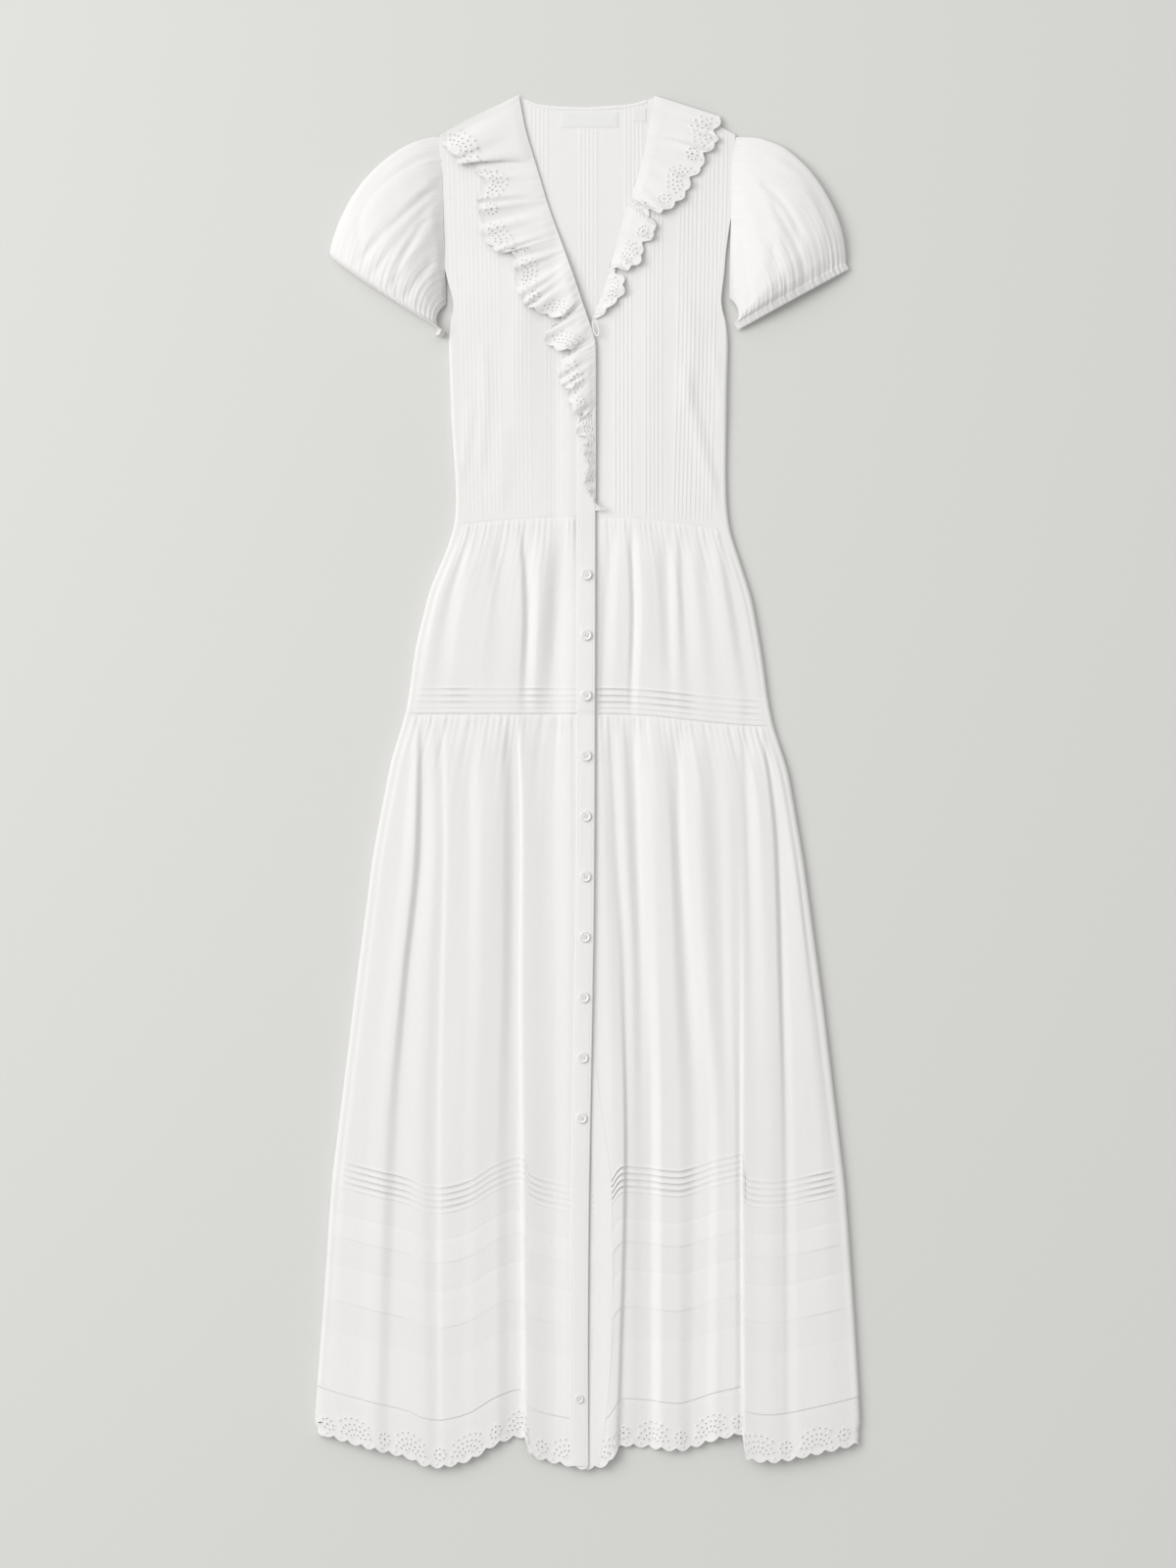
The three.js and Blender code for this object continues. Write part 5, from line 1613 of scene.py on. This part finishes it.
def button_mesh(radius, height):
    """A four-hole button: a turned rim, a dished face with holes through it, and a flat back."""
    rings = button_profile(radius, height)
    turn = np.linspace(0, 2 * math.pi, BUTTON_SEGMENTS + 1)[:-1]
    points = [np.stack([r * np.cos(turn), r * np.sin(turn), np.full(BUTTON_SEGMENTS, z)], axis=-1)
              for r, z in rings]
    count = len(rings)
    faces = grid_faces(count, BUTTON_SEGMENTS, closed=True).tolist()
    total = np.concatenate(points)
    holes = [(sx * HOLE_OFFSET, sy * HOLE_OFFSET) for sx in (-1, 1) for sy in (-1, 1)]
    hole_turn = np.linspace(0, 2 * math.pi, HOLE_SIDES + 1)[:-1]
    inner = [(x, y) for x, y, _ in points[-1]]
    loops = [(k, (k + 1) % BUTTON_SEGMENTS) for k in range(BUTTON_SEGMENTS)]
    places = list(inner)
    for x, y in holes:
        first = len(places)
        places += [(x + BUTTON_HOLE * math.cos(a), y + BUTTON_HOLE * math.sin(a)) for a in hole_turn]
        loops += [(first + k, first + (k + 1) % HOLE_SIDES) for k in range(HOLE_SIDES)]
    found = delaunay_2d_cdt([Vector(place) for place in places], loops, [], 0, 1e-7)
    source = [origin[0] for origin in found[3]]
    triangles = []
    for face in found[2]:
        middle = sum((Vector(found[0][corner]) for corner in face), Vector((0, 0))) / len(face)
        if all(math.hypot(middle.x - x, middle.y - y) > BUTTON_HOLE * 0.95 for x, y in holes):
            triangles.append([source[corner] for corner in face])
    first = len(total)
    dish = rings[-1][1]
    hole_places = np.array(places[BUTTON_SEGMENTS:])
    top = np.column_stack([hole_places, np.full(len(hole_places), dish)])
    bottom = np.column_stack([hole_places, np.zeros(len(hole_places))])
    total = np.concatenate([total, top, bottom])
    last_ring = (count - 1) * BUTTON_SEGMENTS

    def upper(number):
        return last_ring + number if number < BUTTON_SEGMENTS else first + number - BUTTON_SEGMENTS

    def lower(number):
        return number if number < BUTTON_SEGMENTS else first + len(hole_places) + number - BUTTON_SEGMENTS

    for triangle in triangles:
        faces.append([upper(corner) for corner in triangle])
        faces.append([lower(corner) for corner in triangle[::-1]])
    for hole in range(len(holes)):
        for k in range(HOLE_SIDES):
            a = BUTTON_SEGMENTS + hole * HOLE_SIDES + k
            b = BUTTON_SEGMENTS + hole * HOLE_SIDES + (k + 1) % HOLE_SIDES
            faces.append([upper(b), upper(a), lower(a), lower(b)])
    return total, faces, dish


def thread_along(path):
    """A round thread along a path, with its ends closed."""
    along = np.gradient(path, axis=0)
    along /= np.linalg.norm(along, axis=1, keepdims=True)
    across = np.cross(along, (0.31, 0.22, 0.92))
    across /= np.linalg.norm(across, axis=1, keepdims=True)
    other = np.cross(along, across)
    turn = np.linspace(0, 2 * math.pi, THREAD_SIDES + 1)[:-1]
    rings = [path + THREAD_RADIUS * (math.cos(a) * across + math.sin(a) * other) for a in turn]
    grid = np.stack(rings, axis=1)
    faces = grid_faces(len(path), THREAD_SIDES, closed=True).tolist()
    last = (len(path) - 1) * THREAD_SIDES
    faces += [list(range(THREAD_SIDES)), list(range(last, last + THREAD_SIDES))[::-1]]
    return grid.reshape(-1, 3), faces


def add_button(node, spin):
    """A button in its CAD piece's box, turned by spin, with two stitches of thread through it."""
    low, high = (np.array(corner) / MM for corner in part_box(node))
    radius = (high[X] - low[X]) / 2
    centre = np.array([(low[X] + high[X]) / 2, (low[Y] + high[Y]) / 2, low[Z]])
    points, faces, dish = button_mesh(radius, high[Z] - low[Z])
    count = len(points)
    parts, all_faces = [points], list(faces)
    for sign in (-1, 1):
        part = np.linspace(0, 1, 13)
        path = np.stack([sign * (HOLE_OFFSET - 0.12 * np.sin(math.pi * part)), HOLE_OFFSET * (2 * part - 1),
                         dish - 0.25 + 0.62 * np.sin(math.pi * part) ** 0.4], axis=-1)
        thread, thread_faces = thread_along(path)
        all_faces += [[corner + count for corner in face] for face in thread_faces]
        parts.append(thread)
        count += len(thread)
    total = np.concatenate(parts)
    cos, sin = math.cos(spin), math.sin(spin)
    turned = np.stack([total[:, 0] * cos - total[:, 1] * sin, total[:, 0] * sin + total[:, 1] * cos,
                       total[:, 2]], axis=-1)
    which = np.array([0] * len(faces) + [1] * (len(all_faces) - len(faces)))
    mesh = bpy.data.meshes.new(f"{node}_pearl")
    mesh.from_pydata(((turned + centre) * MM).tolist(), [], all_faces)
    mesh.materials.append(PEARL)
    mesh.materials.append(THREAD)
    mesh.polygons.foreach_set("material_index", which)
    mesh.polygons.foreach_set("use_smooth", np.ones(len(all_faces), bool))
    mesh.set_sharp_from_angle(angle=math.radians(50))
    piece = bpy.data.objects.new(f"{node}_pearl", mesh)
    bpy.context.scene.collection.objects.link(piece)
    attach(piece, "root")
    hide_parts(node)


button_random = np.random.default_rng(17)
for number in range(1, 11):
    add_button(f"button_{number:02d}", button_random.uniform(-0.5, 0.5))
add_button("hem_button", 0.2)

# ---- floor, light and camera ---------------------------------------------------------------

VIEW_HEIGHT_M = 1.52
CAMERA_HEIGHT_M = VIEW_HEIGHT_M * 100 / 36


def add_camera():
    data = bpy.data.cameras.new("camera")
    data.lens = 100
    data.sensor_width = 36
    camera = bpy.data.objects.new("camera", data)
    camera.location = (0.0005, -0.0017, CAMERA_HEIGHT_M)
    bpy.context.scene.collection.objects.link(camera)
    bpy.context.scene.camera = camera


def add_floor():
    size = 6.0
    mesh = bpy.data.meshes.new("floor")
    corners = [(-size, -size, 0), (size, -size, 0), (size, size, 0), (-size, size, 0)]
    mesh.from_pydata(corners, [], [(0, 1, 2, 3)])
    material = new_material("floor", (0.705, 0.703, 0.678), 0.9)[0]
    mesh.materials.append(material)
    floor = bpy.data.objects.new("floor", mesh)
    bpy.context.scene.collection.objects.link(floor)


def add_light(name, place, target, size, power):
    data = bpy.data.lights.new(name, "AREA")
    data.shape = "DISK"
    data.size = size
    data.energy = power
    light = bpy.data.objects.new(name, data)
    light.location = place
    light.rotation_euler = (Vector(target) - Vector(place)).to_track_quat("-Z", "Y").to_euler()
    bpy.context.scene.collection.objects.link(light)


def add_sun(name, direction, width, strength):
    data = bpy.data.lights.new(name, "SUN")
    data.energy = strength
    data.angle = math.radians(width)
    light = bpy.data.objects.new(name, data)
    light.rotation_euler = Vector(direction).to_track_quat("Z", "Y").to_euler()
    bpy.context.scene.collection.objects.link(light)


def add_world(colour, strength):
    world = bpy.data.worlds.new("world")
    world.use_nodes = True
    background = world.node_tree.nodes["Background"]
    background.inputs["Color"].default_value = (*colour, 1)
    background.inputs["Strength"].default_value = strength
    bpy.context.scene.world = world


add_camera()
add_floor()
add_light("key", place=(-2.3, 1.1, 2.8), target=(0, 0, 0), size=2.6, power=57)
add_sun("window", direction=(-0.42, 0.36, 0.83), width=80, strength=0.97)
add_world((0.995, 0.995, 1.0), 0.456)
bpy.context.scene.view_settings.view_transform = "Standard"
